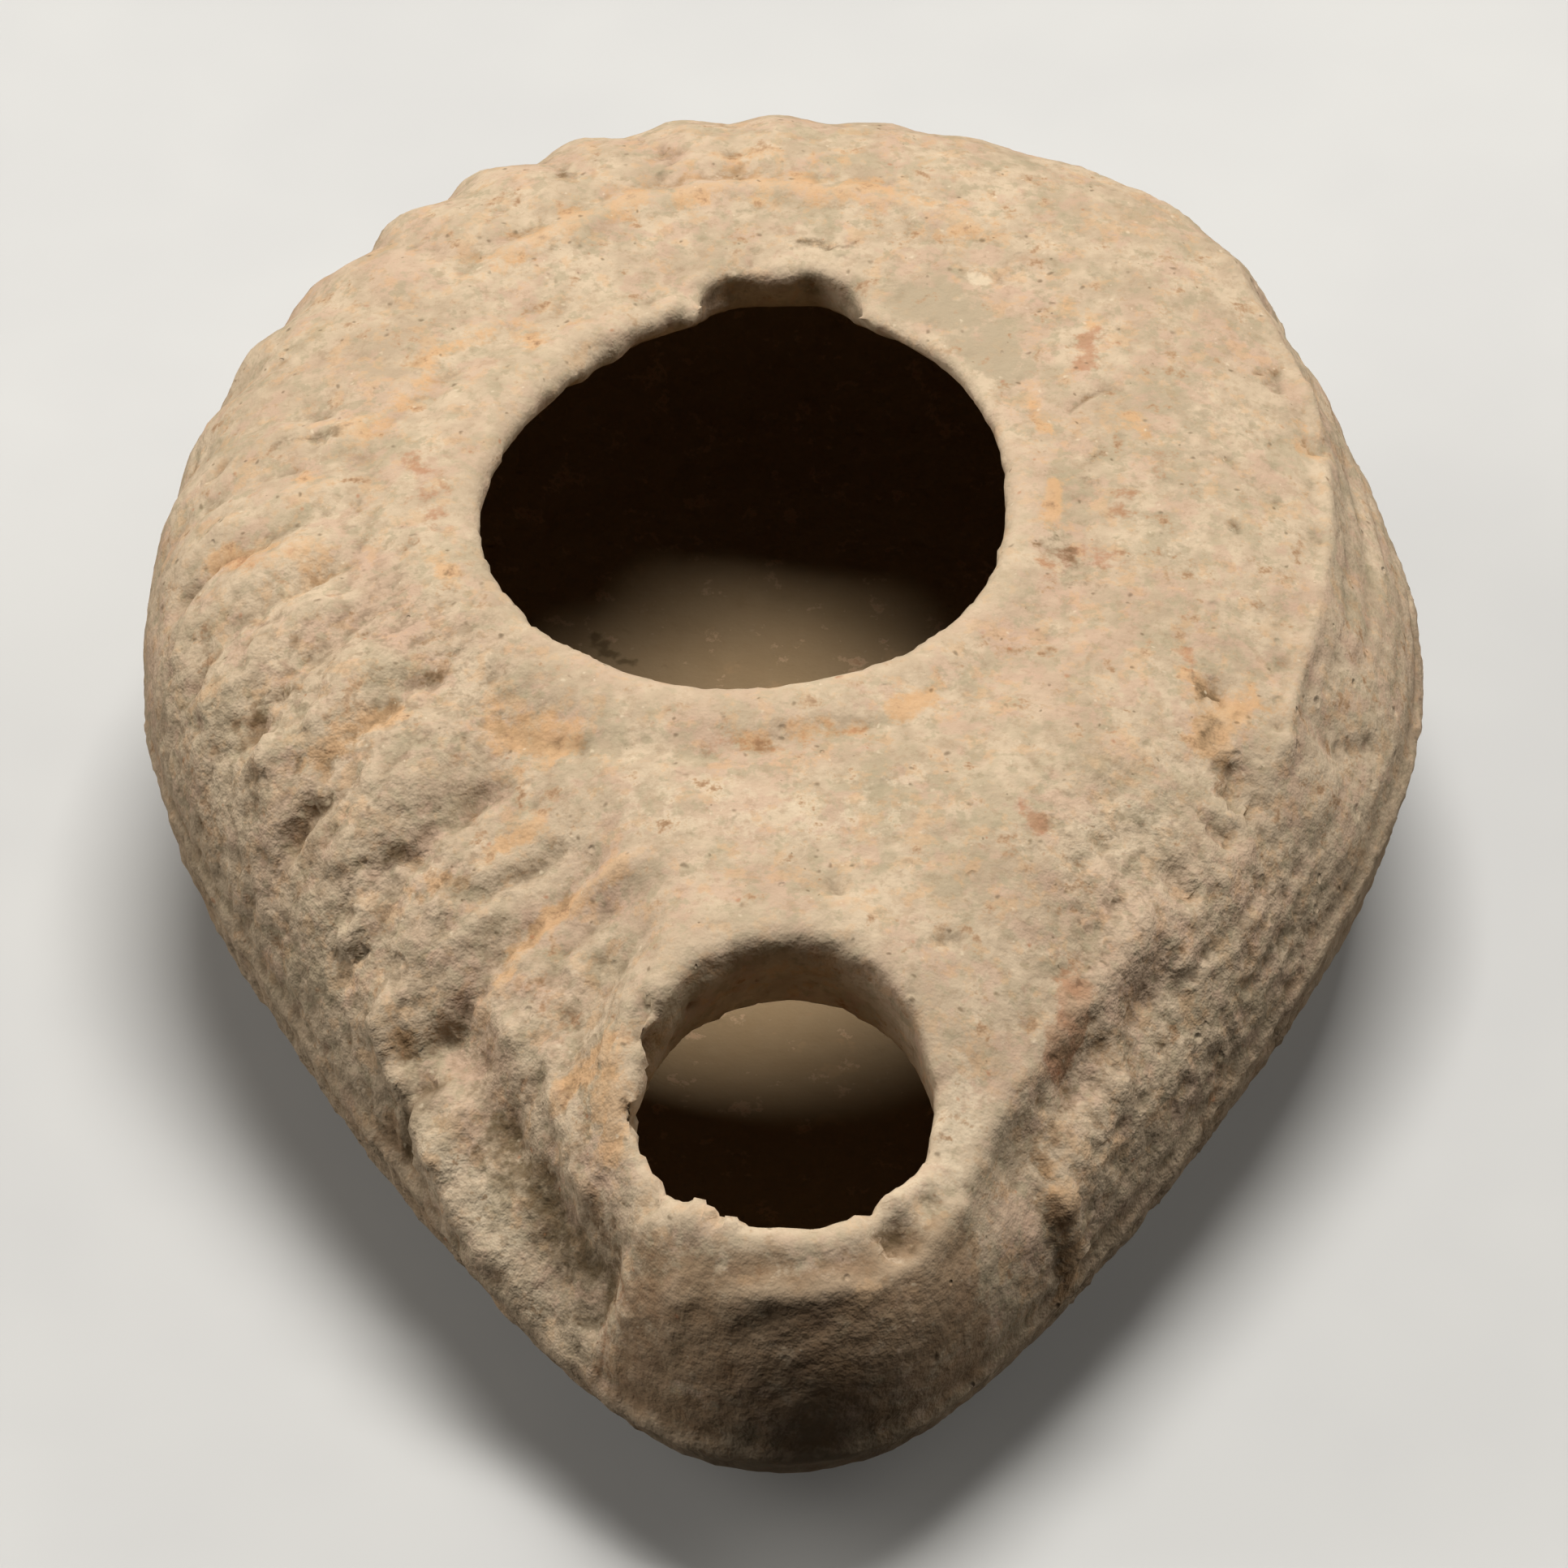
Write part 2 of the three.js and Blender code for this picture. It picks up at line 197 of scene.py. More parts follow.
@dataclass(frozen=True)
class Form:
    """The lamp's heights and the place of its holes, as the part has them."""

    belt_height: float = 15.0
    belt_drop: float = 6.0
    rim_height: float = 28.2
    nozzle_drop: float = 0.0085
    rear_rise: float = 1.0
    body_shift: float = -1.6
    nozzle_shift: float = 1.2
    rear_shift: float = -0.3
    fill_centre: tuple[float, float] = (-2.3, -1.8)
    fill_radius: float = 14.3
    broken_stretch: float = 1.28
    broken_swing: float = 0.12
    wick_centre: tuple[float, float] = (0.1, -42.5)
    wick_radius: float = 7.8
    wall: float = 4.0
    nozzle_wall: float = 3.0
    floor_height: float = 4.6
    nozzle_floor_height: float = 6.0
    rim_thickness: float = 2.7
    nozzle_thickness: float = 6.2
    shoulder_power: float = 6.0
    chamber_power: float = 3.6
    bowl_power: float = 2.4
    nozzle_rise: float = 2.5

    def crest(self, y: np.ndarray) -> np.ndarray:
        """Give the height of the top along the lamp."""
        front = np.maximum(0.0, -20.0 - y)
        return self.rim_height - self.nozzle_drop * front**2 + self.rear_rise * ease(14, 32, y)

    def beyond_rim(self, x: np.ndarray, y: np.ndarray) -> np.ndarray:
        """Give how far plan points are outside the round rim as it was moulded."""
        return np.hypot(x - self.fill_centre[0], y - self.fill_centre[1]) - self.fill_radius

    def beyond_edge(self, x: np.ndarray, y: np.ndarray) -> np.ndarray:
        """Measure how far plan points are outside the hole, whose rear edge is broken back.

        Args:
            x: Plan x of the points.
            y: Plan y of the points.

        Returns:
            The distance outside the hole's edge, negative within it.
        """
        away = y - self.fill_centre[1]
        away = np.where(away > 0, away / self.broken_stretch, away)
        side = x - self.fill_centre[0] - self.broken_swing * np.maximum(away, 0.0)
        return np.hypot(side, away) - self.fill_radius

    def belt(self, y: np.ndarray) -> np.ndarray:
        """Give the height of the widest line along the lamp."""
        return self.belt_height - self.belt_drop * ease(-8, -52, y)

    def shift(self, y: np.ndarray) -> np.ndarray:
        """Give how far the upper half is out of line with the lower one."""
        front = self.body_shift + (self.nozzle_shift - self.body_shift) * ease(-8, -46, y)
        return front + (self.rear_shift - front) * ease(2, 30, y)


@dataclass
class Places:
    """Where each point of the lamp's mesh is on the lamp, in millimetres."""

    points: np.ndarray
    x: np.ndarray
    y: np.ndarray
    z: np.ndarray
    arc: np.ndarray
    depth: np.ndarray
    fraction: np.ndarray
    beyond_rim: np.ndarray
    beyond_edge: np.ndarray
    beyond_wick: np.ndarray
    inside: np.ndarray
    top: np.ndarray
    half: float

    @classmethod
    def survey(cls, points: np.ndarray, form: Form) -> "Places":
        """Work out where points are on the lamp.

        Args:
            points: The points in millimetres, in the part's frame.
            form: The lamp's sizes.

        Returns:
            The places.
        """
        x, y, z = points[:, 0], points[:, 1] - BODY_MIDDLE_Y, points[:, 2]
        belt, crest = form.belt(y), form.crest(y)
        rise = np.clip((z - belt) / (crest - belt), 0.0, 1.0)
        plan_x = x - form.shift(y) * rise
        outer = Outline()
        arc, fraction, radius = outer.locate(plan_x, y)
        inner = Outline(outer.body_radius - form.wall, outer.nozzle_radius - form.nozzle_wall)
        _, within, _ = inner.locate(plan_x, y)
        filled = np.clip(within, 0.0, 1.0)
        middle = belt + form.nozzle_rise * ease(-8, -52, y)
        floor = form.floor_height + (form.nozzle_floor_height - form.floor_height) * ease(-18, -46, y)
        floor = middle + (floor - middle) * np.sqrt(1 - filled**form.bowl_power)
        roof = crest - form.rim_thickness
        roof -= (form.nozzle_thickness - form.rim_thickness) * ease(-16, -34, y)
        roof = middle + (roof - middle) * np.sqrt(1 - filled**form.chamber_power)
        inside = ease(1.0, 0.2, z - roof) * ease(-1.0, -0.2, z - floor) * ease(1.07, 1.03, within)
        return cls(
            points=points,
            x=x,
            y=y,
            z=z,
            arc=arc,
            depth=radius * (1 - fraction),
            fraction=fraction,
            beyond_rim=form.beyond_rim(x, y),
            beyond_edge=form.beyond_edge(x, y),
            beyond_wick=np.hypot(x - form.wick_centre[0], y - form.wick_centre[1]) - form.wick_radius,
            inside=inside,
            top=ease(-0.6, 1.2, z - belt) * (1 - inside),
            half=outer.half(),
        )


@dataclass(frozen=True)
class Stroke:
    """A raised or sunk line on the upper half.

    The line's corners are on the plan, width is its half width and rise its height, all in
    millimetres; a broken line comes and goes along its length.
    """

    line: Line
    width: float
    rise: float
    broken: float = 0.3

    def height(self, places: Places, patchy: np.ndarray) -> np.ndarray:
        """Give the line's height at each place, thinned by patchy noise."""
        near = bump(distance_to_line(places.x, places.y, self.line), self.width)
        return self.rise * near * np.clip(1 + self.broken * 2.2 * patchy, 0.0, 1.6)


@dataclass(frozen=True)
class Mark:
    """A stain on the plan: where it is, how wide it is and how strong."""

    line: Line
    width: float
    strength: float


@dataclass(frozen=True)
class Pit:
    """A small knock or pit on the upper half: its place, size and depth."""

    x: float
    y: float
    size: float
    deep: float
    dirty: float = 1.0


@dataclass(frozen=True)
class FanRibs:
    """The fan of ribs on the shoulder, sharp on the left and nearly worn away on the right."""

    count: int = 38
    skew: float = 0.27
    groove: float = 0.5
    groove_width: float = 0.5
    wander: float = 0.55
    loss: float = 0.5
    reach: float = 14.0
    crest: float = 0.30
    crest_width: float = 1.5

    def phase(self, places: Places) -> np.ndarray:
        """Follow the ribs to find how far each place is from its rib's crest line.

        Args:
            places: Where the points are.

        Returns:
            The distances in millimetres.
        """
        outline = Outline()
        angles, along = outline.walk()
        side = np.sign(places.arc)
        start = places.arc
        for _ in range(8):
            share = np.abs(start) / places.half
            kept = ease(0.22, 0.36, share) * (1 - ease(0.72, 1.0, share))
            kept = kept * ease(0.0, 0.5, places.fraction)
            radius = outline.facing(np.interp(np.abs(start), along, angles))[3]
            start = places.arc - side * self.skew * radius * (1 - places.fraction) * kept
        pitch = 2 * places.half / self.count
        return np.abs((start / pitch + 0.5) % 1.0 - 0.5) * pitch

    def kept(self, places: Places) -> np.ndarray:
        """Work out how much of the ribs is left.

        Args:
            places: Where the points are.

        Returns:
            The share left at each place, from 0 to 1.
        """
        left = 1 - 0.9 * ease(-2, 9, places.x)
        rear = 1 - 0.85 * ease(-6, 8, places.y)
        clear = ease(3.4, 6.0, places.beyond_rim) * ease(4.8, 8.0, places.beyond_wick)
        span = ease(self.reach + 2, self.reach - 5, places.depth) * ease(0.6, 2.4, places.depth)
        return left * rear * clear * span

    def height(self, places: Places, patchy: np.ndarray) -> np.ndarray:
        """Give the sharpened grooves and fuller crests of the ribs.

        Args:
            places: Where the points are.
            patchy: Smooth noise that breaks the ribs up.

        Returns:
            The rise at each place.
        """
        pitch = 2 * places.half / self.count
        crumbled = lumps(places.points, 1.7, 11)
        away = np.clip(self.phase(places) + self.wander * crumbled, 0.0, pitch / 2)
        groove = bump(pitch / 2 - away, self.groove_width)
        crest = bump(away, self.crest_width)
        worn = np.clip(0.75 + 0.9 * patchy, 0.1, 1.5)
        lost = np.clip(2.4 * lumps(places.points, 2.6, 12), 0.0, 1.0)
        cut = self.groove * groove * np.clip(1.0 + 1.6 * crumbled, 0.15, 1.8)
        return self.kept(places) * ((self.crest - self.loss * lost) * crest - cut) * worn


@dataclass(frozen=True)
class Lines:
    """The single lines of the upper half: the halves' edges, the boss, a ring, and grooves."""

    strokes: tuple[Stroke, ...] = (
        Stroke(
            ((-21.4, -31.0), (-18.8, -36.4), (-15.9, -41.5), (-13.0, -46.1), (-10.2, -49.2)),
            0.4, 1.0, 0.0,
        ),
        Stroke(
            ((-5.4, -51.2), (-2.5, -52.5), (0.6, -52.8), (3.8, -52.2), (6.9, -50.0), (8.9, -47.1)),
            0.6, 0.4, 0.4,
        ),
        Stroke(((-21.4, -34.6), (-18.6, -39.6), (-15.8, -44.4), (-13.2, -47.6)), 0.8, -0.35, 0.3),
        Stroke(
            ((-17.5, -33.6), (-15.3, -38.4), (-13.3, -42.4), (-11.7, -45.4), (-9.8, -47.9)),
            1.25, -1.4, 0.1,
        ),
        Stroke(((-12.2, -36.4), (-11.6, -39.1), (-11.0, -41.7), (-10.4, -44.2)), 0.6, 0.55, 0.4),
        Stroke(((18.8, -29.3), (16.7, -33.0), (14.0, -36.7), (11.2, -41.4), (9.0, -45.6)), 0.9, 0.45),
        Stroke(((20.4, -31.0), (17.6, -35.0), (14.4, -39.6), (12.0, -43.6)), 1.2, -0.5, 0.5),
        Stroke(((17.7, -36.1), (16.2, -39.5), (14.2, -43.0)), 0.6, 0.45),
        Stroke(
            ((-18.0, 17.0), (-16.0, 20.0), (-8.9, 24.4), (-2.8, 25.8), (4.1, 25.2), (11.4, 22.1)),
            0.9, 0.28,
        ),
        Stroke(((-18.6, 17.6), (-16.2, 21.4), (-9.2, 25.9), (-2.8, 27.2), (4.4, 26.6)), 0.8, -0.22, 0.5),
        Stroke(((-23.5, 5.3), (-21.5, 8.2), (-19.4, 11.2), (-16.2, 14.4)), 0.8, 0.25, 0.5),
        Stroke(
            (
                (24.8, 22.2), (28.0, 15.2), (29.6, 9.2), (29.8, 1.1),
                (29.0, -6.6), (27.4, -12.5), (26.4, -16.9),
            ),
            0.5, 0.4, 0.7,
        ),
        Stroke(((28.6, 20.4), (31.4, 12.6), (32.3, 4.0), (31.7, -5.0), (29.9, -13.0)), 1.9, -0.7, 0.2),
        Stroke(((-31.4, -7.6), (-27.0, -8.8)), 0.6, -0.3, 0.6),
        Stroke(((-28.1, -15.0), (-25.0, -14.9)), 0.7, -0.35, 0.4),
        Stroke(((-24.3, -20.9), (-22.0, -20.5), (-18.6, -18.9)), 0.6, -0.35, 0.6),
        Stroke(((-21.6, -24.8), (-18.6, -23.8), (-15.0, -21.8)), 0.6, -0.28, 0.6),
        Stroke(((-18.4, -28.9), (-15.4, -27.5), (-12.0, -26.1)), 0.5, -0.4, 0.5),
        Stroke(((-15.0, -31.8), (-12.9, -29.6), (-10.3, -28.6), (-8.2, -28.3)), 0.8, 0.4, 0.3),
        Stroke(((-13.6, -34.0), (-11.4, -31.4), (-9.0, -30.2), (-6.4, -29.8)), 0.7, -0.3, 0.5),
        Stroke(((-14.9, -18.1), (-10.7, -20.0), (-5.8, -20.9), (-0.2, -20.4), (6.0, -18.4)), 0.7, -0.18, 0.6),
        Stroke(((24.4, 4.0), (26.8, 1.4), (28.6, -0.6)), 0.35, -0.25, 0.2),
        Stroke(((15.6, 7.2), (16.6, 8.2), (17.9, 9.4)), 0.3, -0.3, 0.1),
        Stroke(((31.2, -12.4), (31.7, -11.6), (32.2, -10.8)), 0.3, -0.3, 0.0),
    )

    def height(self, places: Places, patchy: np.ndarray) -> np.ndarray:
        """Give the height of all the lines together; they fade out towards the nozzle's tip."""
        total = sum(stroke.height(places, patchy) for stroke in self.strokes)
        return total * ease(-54.5, -52.0, places.y)


@dataclass(frozen=True)
class Knocks:
    """Pits, knocks and chips, each with a ragged edge, and the big gouge on the right."""

    pits: tuple[Pit, ...] = (
        Pit(-25.8, 5.6, 0.7, 0.5), Pit(-31.0, 5.6, 0.8, 0.4, 0.5), Pit(-26.9, -13.6, 0.5, 0.4),
        Pit(-24.6, -20.7, 0.4, 0.25), Pit(-20.1, -24.7, 0.4, 0.25), Pit(-19.4, -35.2, 0.8, 0.6),
        Pit(-20.1, -33.0, 0.6, 0.6), Pit(-29.0, -21.5, 0.5, 0.3, 0.6), Pit(2.4, 20.9, 0.5, 0.3),
        Pit(2.6, -30.9, 0.8, 0.35, 0.6), Pit(16.8, -25.8, 0.7, 0.4, 0.8),
        Pit(20.8, -26.6, 0.9, 0.5, 0.7), Pit(24.4, -19.4, 1.4, 0.9, 0.3),
        Pit(23.2, -22.6, 0.8, 0.6, 0.9), Pit(26.4, -15.6, 0.6, 0.6, 0.9),
        Pit(23.4, -14.6, 0.9, 0.5, 0.2), Pit(27.2, 12.2, 0.9, 0.4, 0.5), Pit(29.4, 7.4, 0.8, 0.5, 0.4),
        Pit(28.9, -0.9, 0.7, 0.5, 0.8), Pit(24.6, -1.6, 0.5, 0.3, 0.6), Pit(5.6, -49.6, 1.2, 0.7, 0.8),
        Pit(-6.6, -47.0, 0.8, 0.5, 0.5), Pit(-7.4, -38.6, 0.9, 0.7, 0.2),
        Pit(-7.9, -42.6, 0.7, 0.6, 0.3), Pit(7.4, -48.0, 0.9, 0.4, 0.5),
        Pit(14.6, -42.6, 0.9, -0.4, 0.0), Pit(-27.6, -17.0, 0.9, -0.5, 0.0),
        Pit(-22.6, -26.6, 1.1, -0.6, 0.0), Pit(-20.6, -31.0, 0.9, -0.7, 0.0),
        Pit(-19.6, -32.4, 0.6, -0.4, 0.0), Pit(-22.0, -20.4, 0.5, -0.5, 0.0),
        Pit(-17.6, -37.4, 0.8, -0.3, 0.0), Pit(12.4, 18.6, 0.7, 0.25, 0.8),
        Pit(-6.6, 29.4, 1.0, 0.35, 0.7), Pit(8.6, -33.6, 0.6, 0.3, 0.5),
    )

    def depth(self, places: Places, ragged: np.ndarray) -> tuple[np.ndarray, np.ndarray]:
        """Give how deep the knocks are, and how dirty they have become.

        Args:
            places: Where the points are.
            ragged: Noise that roughens the knocks' edges.

        Returns:
            The depth and the dirt at each place.
        """
        deep = np.zeros(places.x.shape)
        dirt = np.zeros(places.x.shape)
        for pit in self.pits:
            away = np.hypot(places.x - pit.x, places.y - pit.y) + 0.8 * pit.size * ragged
            within = ease(1.25 * pit.size, 0.4 * pit.size, away)
            deep += pit.deep * within
            dirt += pit.dirty * within * max(pit.deep, 0.0)
        return deep, dirt


@dataclass(frozen=True)
class Wear:
    """The uneven face of old clay: rough in the recesses, smoother where it was handled."""

    broad: float = 0.12
    lump: float = 0.10
    coarse: float = 0.17
    edge: float = 0.34
    grit: float = 0.10
    crumbs: float = 0.12
    lip: float = 0.6
    rim: float = 0.55
    streak: float = 0.22
    seam_rise: float = 0.22
    seam_groove: float = 0.14
    seam_width: float = 0.5

    def rough(self, places: Places) -> np.ndarray:
        """Work out how rough the face is.

        Args:
            places: Where the points are.

        Returns:
            The roughness at each place, from about 0.45 on the smooth parts to 1.2.
        """
        left = ease(-8, -20, places.x) * ease(4, -14, places.y)
        right = ease(10, 17, places.x) * ease(-14, -26, places.y)
        ledge = ease(-4, -12, places.x) * ease(-28, -36, places.y)
        return 0.45 + 0.75 * np.maximum(np.maximum(left, right), ledge)

    def height(self, places: Places) -> np.ndarray:
        """Work out the wear's relief.

        Args:
            places: Where the points are.

        Returns:
            The rise in millimetres at each place.
        """
        points = places.points
        rough = self.rough(places) * (1 - 0.35 * places.inside)
        broad = self.broad * lumps(points, 9.0, 1)
        lump = self.lump * lumps(points, 2.6, 2)
        coarse = self.coarse * (1 - 2.2 * np.abs(lumps(points, 1.25, 3)))
        grit = self.grit * lumps(points, 0.9, 4)
        grit = grit - self.crumbs * np.clip(lumps(points, 1.3, 13) - 0.15, 0.0, 1.0)
        torn = 0.35 + 1.9 * ease(5, 11, places.y) * ease(8, -2, places.x)
        nibbled = 0.35 + 1.3 * ease(-2, -7, places.x)
        reach = 1.3 + 1.6 * ease(12, 16, places.y)
        near_hole = torn * bump(places.beyond_edge, reach) + nibbled * bump(places.beyond_wick, 1.0)
        ragged = self.edge * lumps(points, 1.9, 5) * near_hole * (1 - places.inside)
        rim = self.rim * lumps(points, 4.6, 14) * ease(5, 1, places.depth)
        rim = rim * ease(4, 13, places.y) * ease(14, 4, places.x)
        lip = self.lip * bump(places.beyond_wick, 1.2) * ease(-45, -49, places.y) * (1 - places.inside)
        return broad + rough * (lump + coarse + grit) + ragged + lip + rim * (1 - places.inside)

    def streaks(self, places: Places) -> np.ndarray:
        """Work out the fine lines that a wiping hand drew along the wall.

        Args:
            places: Where the points are.

        Returns:
            The rise in millimetres at each place.
        """
        flow = np.stack([places.arc / 14.0, places.z / 0.8, places.depth / 0.9], axis=1)
        right = ease(6, 1, places.depth) * ease(12, 26, places.x)
        low = ease(0.5, -1.5, places.z - 14.0 + 0.1 * np.maximum(0.0, -8 - places.y))
        return self.streak * lumps(flow, 1.0, 6) * np.maximum(right, 0.6 * low) * (1 - places.inside)

    def seam(self, places: Places, form: Form) -> np.ndarray:
        """Work out the low line where the two halves were joined, wiped but still felt.

        Args:
            places: Where the points are.
            form: The lamp's sizes.

        Returns:
            The rise in millimetres at each place.
        """
        outside = 1 - places.inside
        away = places.z - form.belt(places.y)
        raised = self.seam_rise * bump(away, self.seam_width) * outside
        return raised - self.seam_groove * bump(away - 1.1, self.seam_width) * outside


@dataclass(frozen=True)
class Stains:
    """Where the slip shows, where dirt, pale grit and grey patches lie, and where brown is painted shade."""

    orange: tuple[Mark, ...] = (
        Mark(((-31.0, -2.7), (-28.0, -3.6), (-25.3, -5.0)), 1.1, 0.8),
        Mark(((-28.3, -12.2), (-22.4, -14.1)), 0.9, 0.45),
        Mark(((-24.9, -18.4), (-22.9, -17.6), (-20.8, -16.8)), 0.9, 0.9),
        Mark(((-14.6, -25.0), (-13.0, -24.7)), 0.8, 1.0),
        Mark(((-14.8, -31.6), (-12.9, -29.4), (-10.3, -28.5), (-8.5, -28.2)), 0.7, 1.0),
        Mark(((-19.9, -26.8), (-16.3, -26.5)), 0.8, 0.5),
        Mark(((-20.6, -31.1), (-19.9, -32.4)), 0.7, 0.7),
        Mark(((-16.4, 19.6), (-12.9, 22.6), (-8.9, 24.2)), 1.3, 0.6),
        Mark(((-8.9, 24.8), (-2.8, 26.0), (4.1, 25.4), (10.4, 22.8)), 1.7, 0.62),
        Mark(((-5.0, 28.2), (4.0, 28.0)), 1.0, 0.45),
        Mark(((-23.5, 5.3), (-21.5, 7.8), (-19.4, 10.8), (-16.2, 14.4)), 1.3, 0.55),
        Mark(((-14.6, 12.4), (-12.6, 14.8)), 1.2, 0.5), Mark(((-18.6, -6.0), (-18.2, -7.4)), 0.7, 0.8),
        Mark(((-14.9, -18.2), (-12.6, -19.0)), 1.7, 1.0), Mark(((-2.0, -20.4), (3.9, -19.2)), 0.7, 0.8),
        Mark(((6.0, -17.9), (8.0, -16.9)), 0.9, 1.0), Mark(((-26.6, 1.8), (-25.4, 1.6)), 0.9, 0.6),
        Mark(((14.8, 0.6), (14.5, -2.7)), 0.5, 1.0), Mark(((13.6, 8.0), (14.8, 4.4)), 0.5, 0.7),
        Mark(((19.2, 6.2), (20.6, 5.2)), 0.9, 0.8),
        Mark(((22.9, -17.6), (23.8, -16.0), (24.6, -14.6)), 1.3, 1.0),
        Mark(((21.9, -13.6), (22.3, -14.6)), 0.8, 0.8),
        Mark(((-11.2, -38.9), (-9.8, -38.4), (-8.8, -41.6), (-8.9, -43.6)), 1.0, 0.9),
        Mark(((28.4, 8.6), (29.2, 6.4)), 0.8, 0.7), Mark(((14.2, -42.4), (14.8, -43.4)), 0.7, 1.0),
        Mark(((4.4, -30.8), (7.0, -30.4)), 0.8, 0.4), Mark(((15.8, 16.6), (16.8, 14.6)), 0.7, 0.9),
    )
    red: tuple[Mark, ...] = (
        Mark(((-30.6, -3.0), (-26.8, -4.4)), 0.6, 0.4),
        Mark(((-20.3, 2.2), (-19.3, -0.8), (-18.8, -3.6)), 0.8, 0.6),
        Mark(((17.0, 13.2), (16.6, 11.0)), 0.6, 1.0), Mark(((17.4, 13.8), (18.9, 12.6)), 0.5, 0.8),
        Mark(((15.0, -34.2), (14.8, -36.4), (14.2, -38.0)), 0.8, 1.5),
        Mark(((14.4, -6.2), (16.2, -4.6), (17.4, -5.6)), 0.9, 0.7),
        Mark(((-5.8, -20.9), (-0.2, -20.4), (3.9, -19.2)), 0.6, 0.5),
        Mark(((21.6, -12.2), (22.0, -12.8)), 0.5, 1.0),
        Mark(((-13.4, -33.0), (-11.0, -35.0), (-12.4, -37.0)), 1.4, 0.15),
        Mark(((-9.6, -48.8), (-6.6, -51.0)), 0.9, 0.5), Mark(((12.0, -24.0), (13.6, -26.0)), 0.5, 0.7),
        Mark(((20.6, 3.4), (17.6, -2.4)), 0.8, 0.35),
    )
    dirt: tuple[Mark, ...] = (
        Mark(((16.4, 4.4), (16.8, 1.4)), 0.9, 0.5), Mark(((15.0, -4.6), (16.6, -7.4)), 1.2, 0.7),
        Mark(((22.6, -12.8), (22.7, -17.6)), 0.9, 0.6),
        Mark(((-28.0, -13.8), (-26.6, -13.4)), 0.6, 0.7),
        Mark(((-15.5, -38.5), (-13.3, -42.5), (-11.7, -45.5), (-9.9, -47.9)), 1.1, 0.9),
        Mark(((-27.4, 5.7), (-24.8, 5.6)), 0.7, 0.7), Mark(((-21.6, -24.8), (-20.4, -24.4)), 0.5, 0.6),
        Mark(((-18.6, -27.2), (-16.4, -26.4)), 0.5, 0.6),
        Mark(((-19.8, -35.1), (-18.8, -35.6)), 0.7, 1.4), Mark(((0.6, 21.2), (3.6, 20.6)), 0.35, 1.0),
        Mark(((-12.6, 27.6), (-9.0, 29.0)), 0.5, 0.5),
    )
    pale: tuple[Mark, ...] = (
        Mark(((-18.3, -37.0), (-15.5, -41.3), (-12.6, -45.7), (-9.8, -48.9)), 0.28, 0.7),
        Mark(((10.6, 18.3), (11.1, 18.0)), 0.4, 1.6), Mark(((12.1, 17.4), (12.2, 17.2)), 0.2, 1.2),
        Mark(((-7.0, -24.6), (0.0, -26.0), (7.0, -24.4)), 2.6, 0.4),
        Mark(((9.4, -41.6), (8.6, -45.0), (5.0, -48.6), (-2.0, -50.0)), 1.1, 0.55),
        Mark(((16.0, -26.0), (19.6, -24.0)), 1.6, 0.4),
    )
    grey: tuple[Mark, ...] = (
        Mark(((7.0, 16.4), (8.8, 16.2), (10.8, 13.4), (11.9, 10.8)), 1.5, 1.3),
        Mark(((3.4, 15.8), (4.4, 16.6)), 0.7, 0.6),
        Mark(((21.0, -2.0), (20.4, 3.6), (22.6, 8.0)), 3.6, 0.55),
    )
    # Painted shade in brown: along the nozzle's grooves, at its front lip and on the left flank.
    brown: tuple[Mark, ...] = (
        Mark(((-21.4, -34.6), (-18.6, -39.6), (-15.8, -44.4), (-12.6, -48.2), (-9.4, -51.2)), 1.0, 1.0),
        Mark(((-7.4, -51.0), (-3.0, -52.8), (1.0, -53.4), (5.0, -52.2), (8.8, -49.6)), 1.9, 1.1),
        Mark(((16.8, -35.4), (14.8, -39.4), (12.8, -43.2)), 1.7, 0.4),
        Mark(((-11.0, -41.9), (-10.2, -45.0), (-8.6, -47.6), (-5.4, -50.6)), 0.7, 0.6),
        Mark(((-24.6, -23.4), (-26.6, -19.0), (-29.4, -14.0)), 1.8, 0.45),
    )
    crack: Mark = Mark(((-10.9, 13.6), (-10.0, 12.4), (-8.6, 11.7)), 0.35, 1.6)
    crack_height: float = 5.0

    def cracked(self, places: Places) -> np.ndarray:
        """Give the dark crack in the floor of the chamber.

        Args:
            places: Where the points are.

        Returns:
            The crack's strength at each place.
        """
        away = distance_to_line(places.x, places.y, self.crack.line)
        low = ease(1.4, 0.6, places.z - self.crack_height)
        return self.crack.strength * ease(1.8 * self.crack.width, 0.0, away) * places.inside * low

    def strength(self, stain: Stain, places: Places) -> np.ndarray:
        """Give how strongly one stain lies at each place.

        Args:
            stain: The stain, whose marks are the field of the same name.
            places: Where the points are.

        Returns:
            The stain's strength at each place.
        """
        total = np.zeros(places.x.shape)
        for mark in getattr(self, stain.value):
            away = distance_to_line(places.x, places.y, mark.line)
            total = np.maximum(total, mark.strength * ease(1.8 * mark.width, 0.2 * mark.width, away))
        return total * places.top


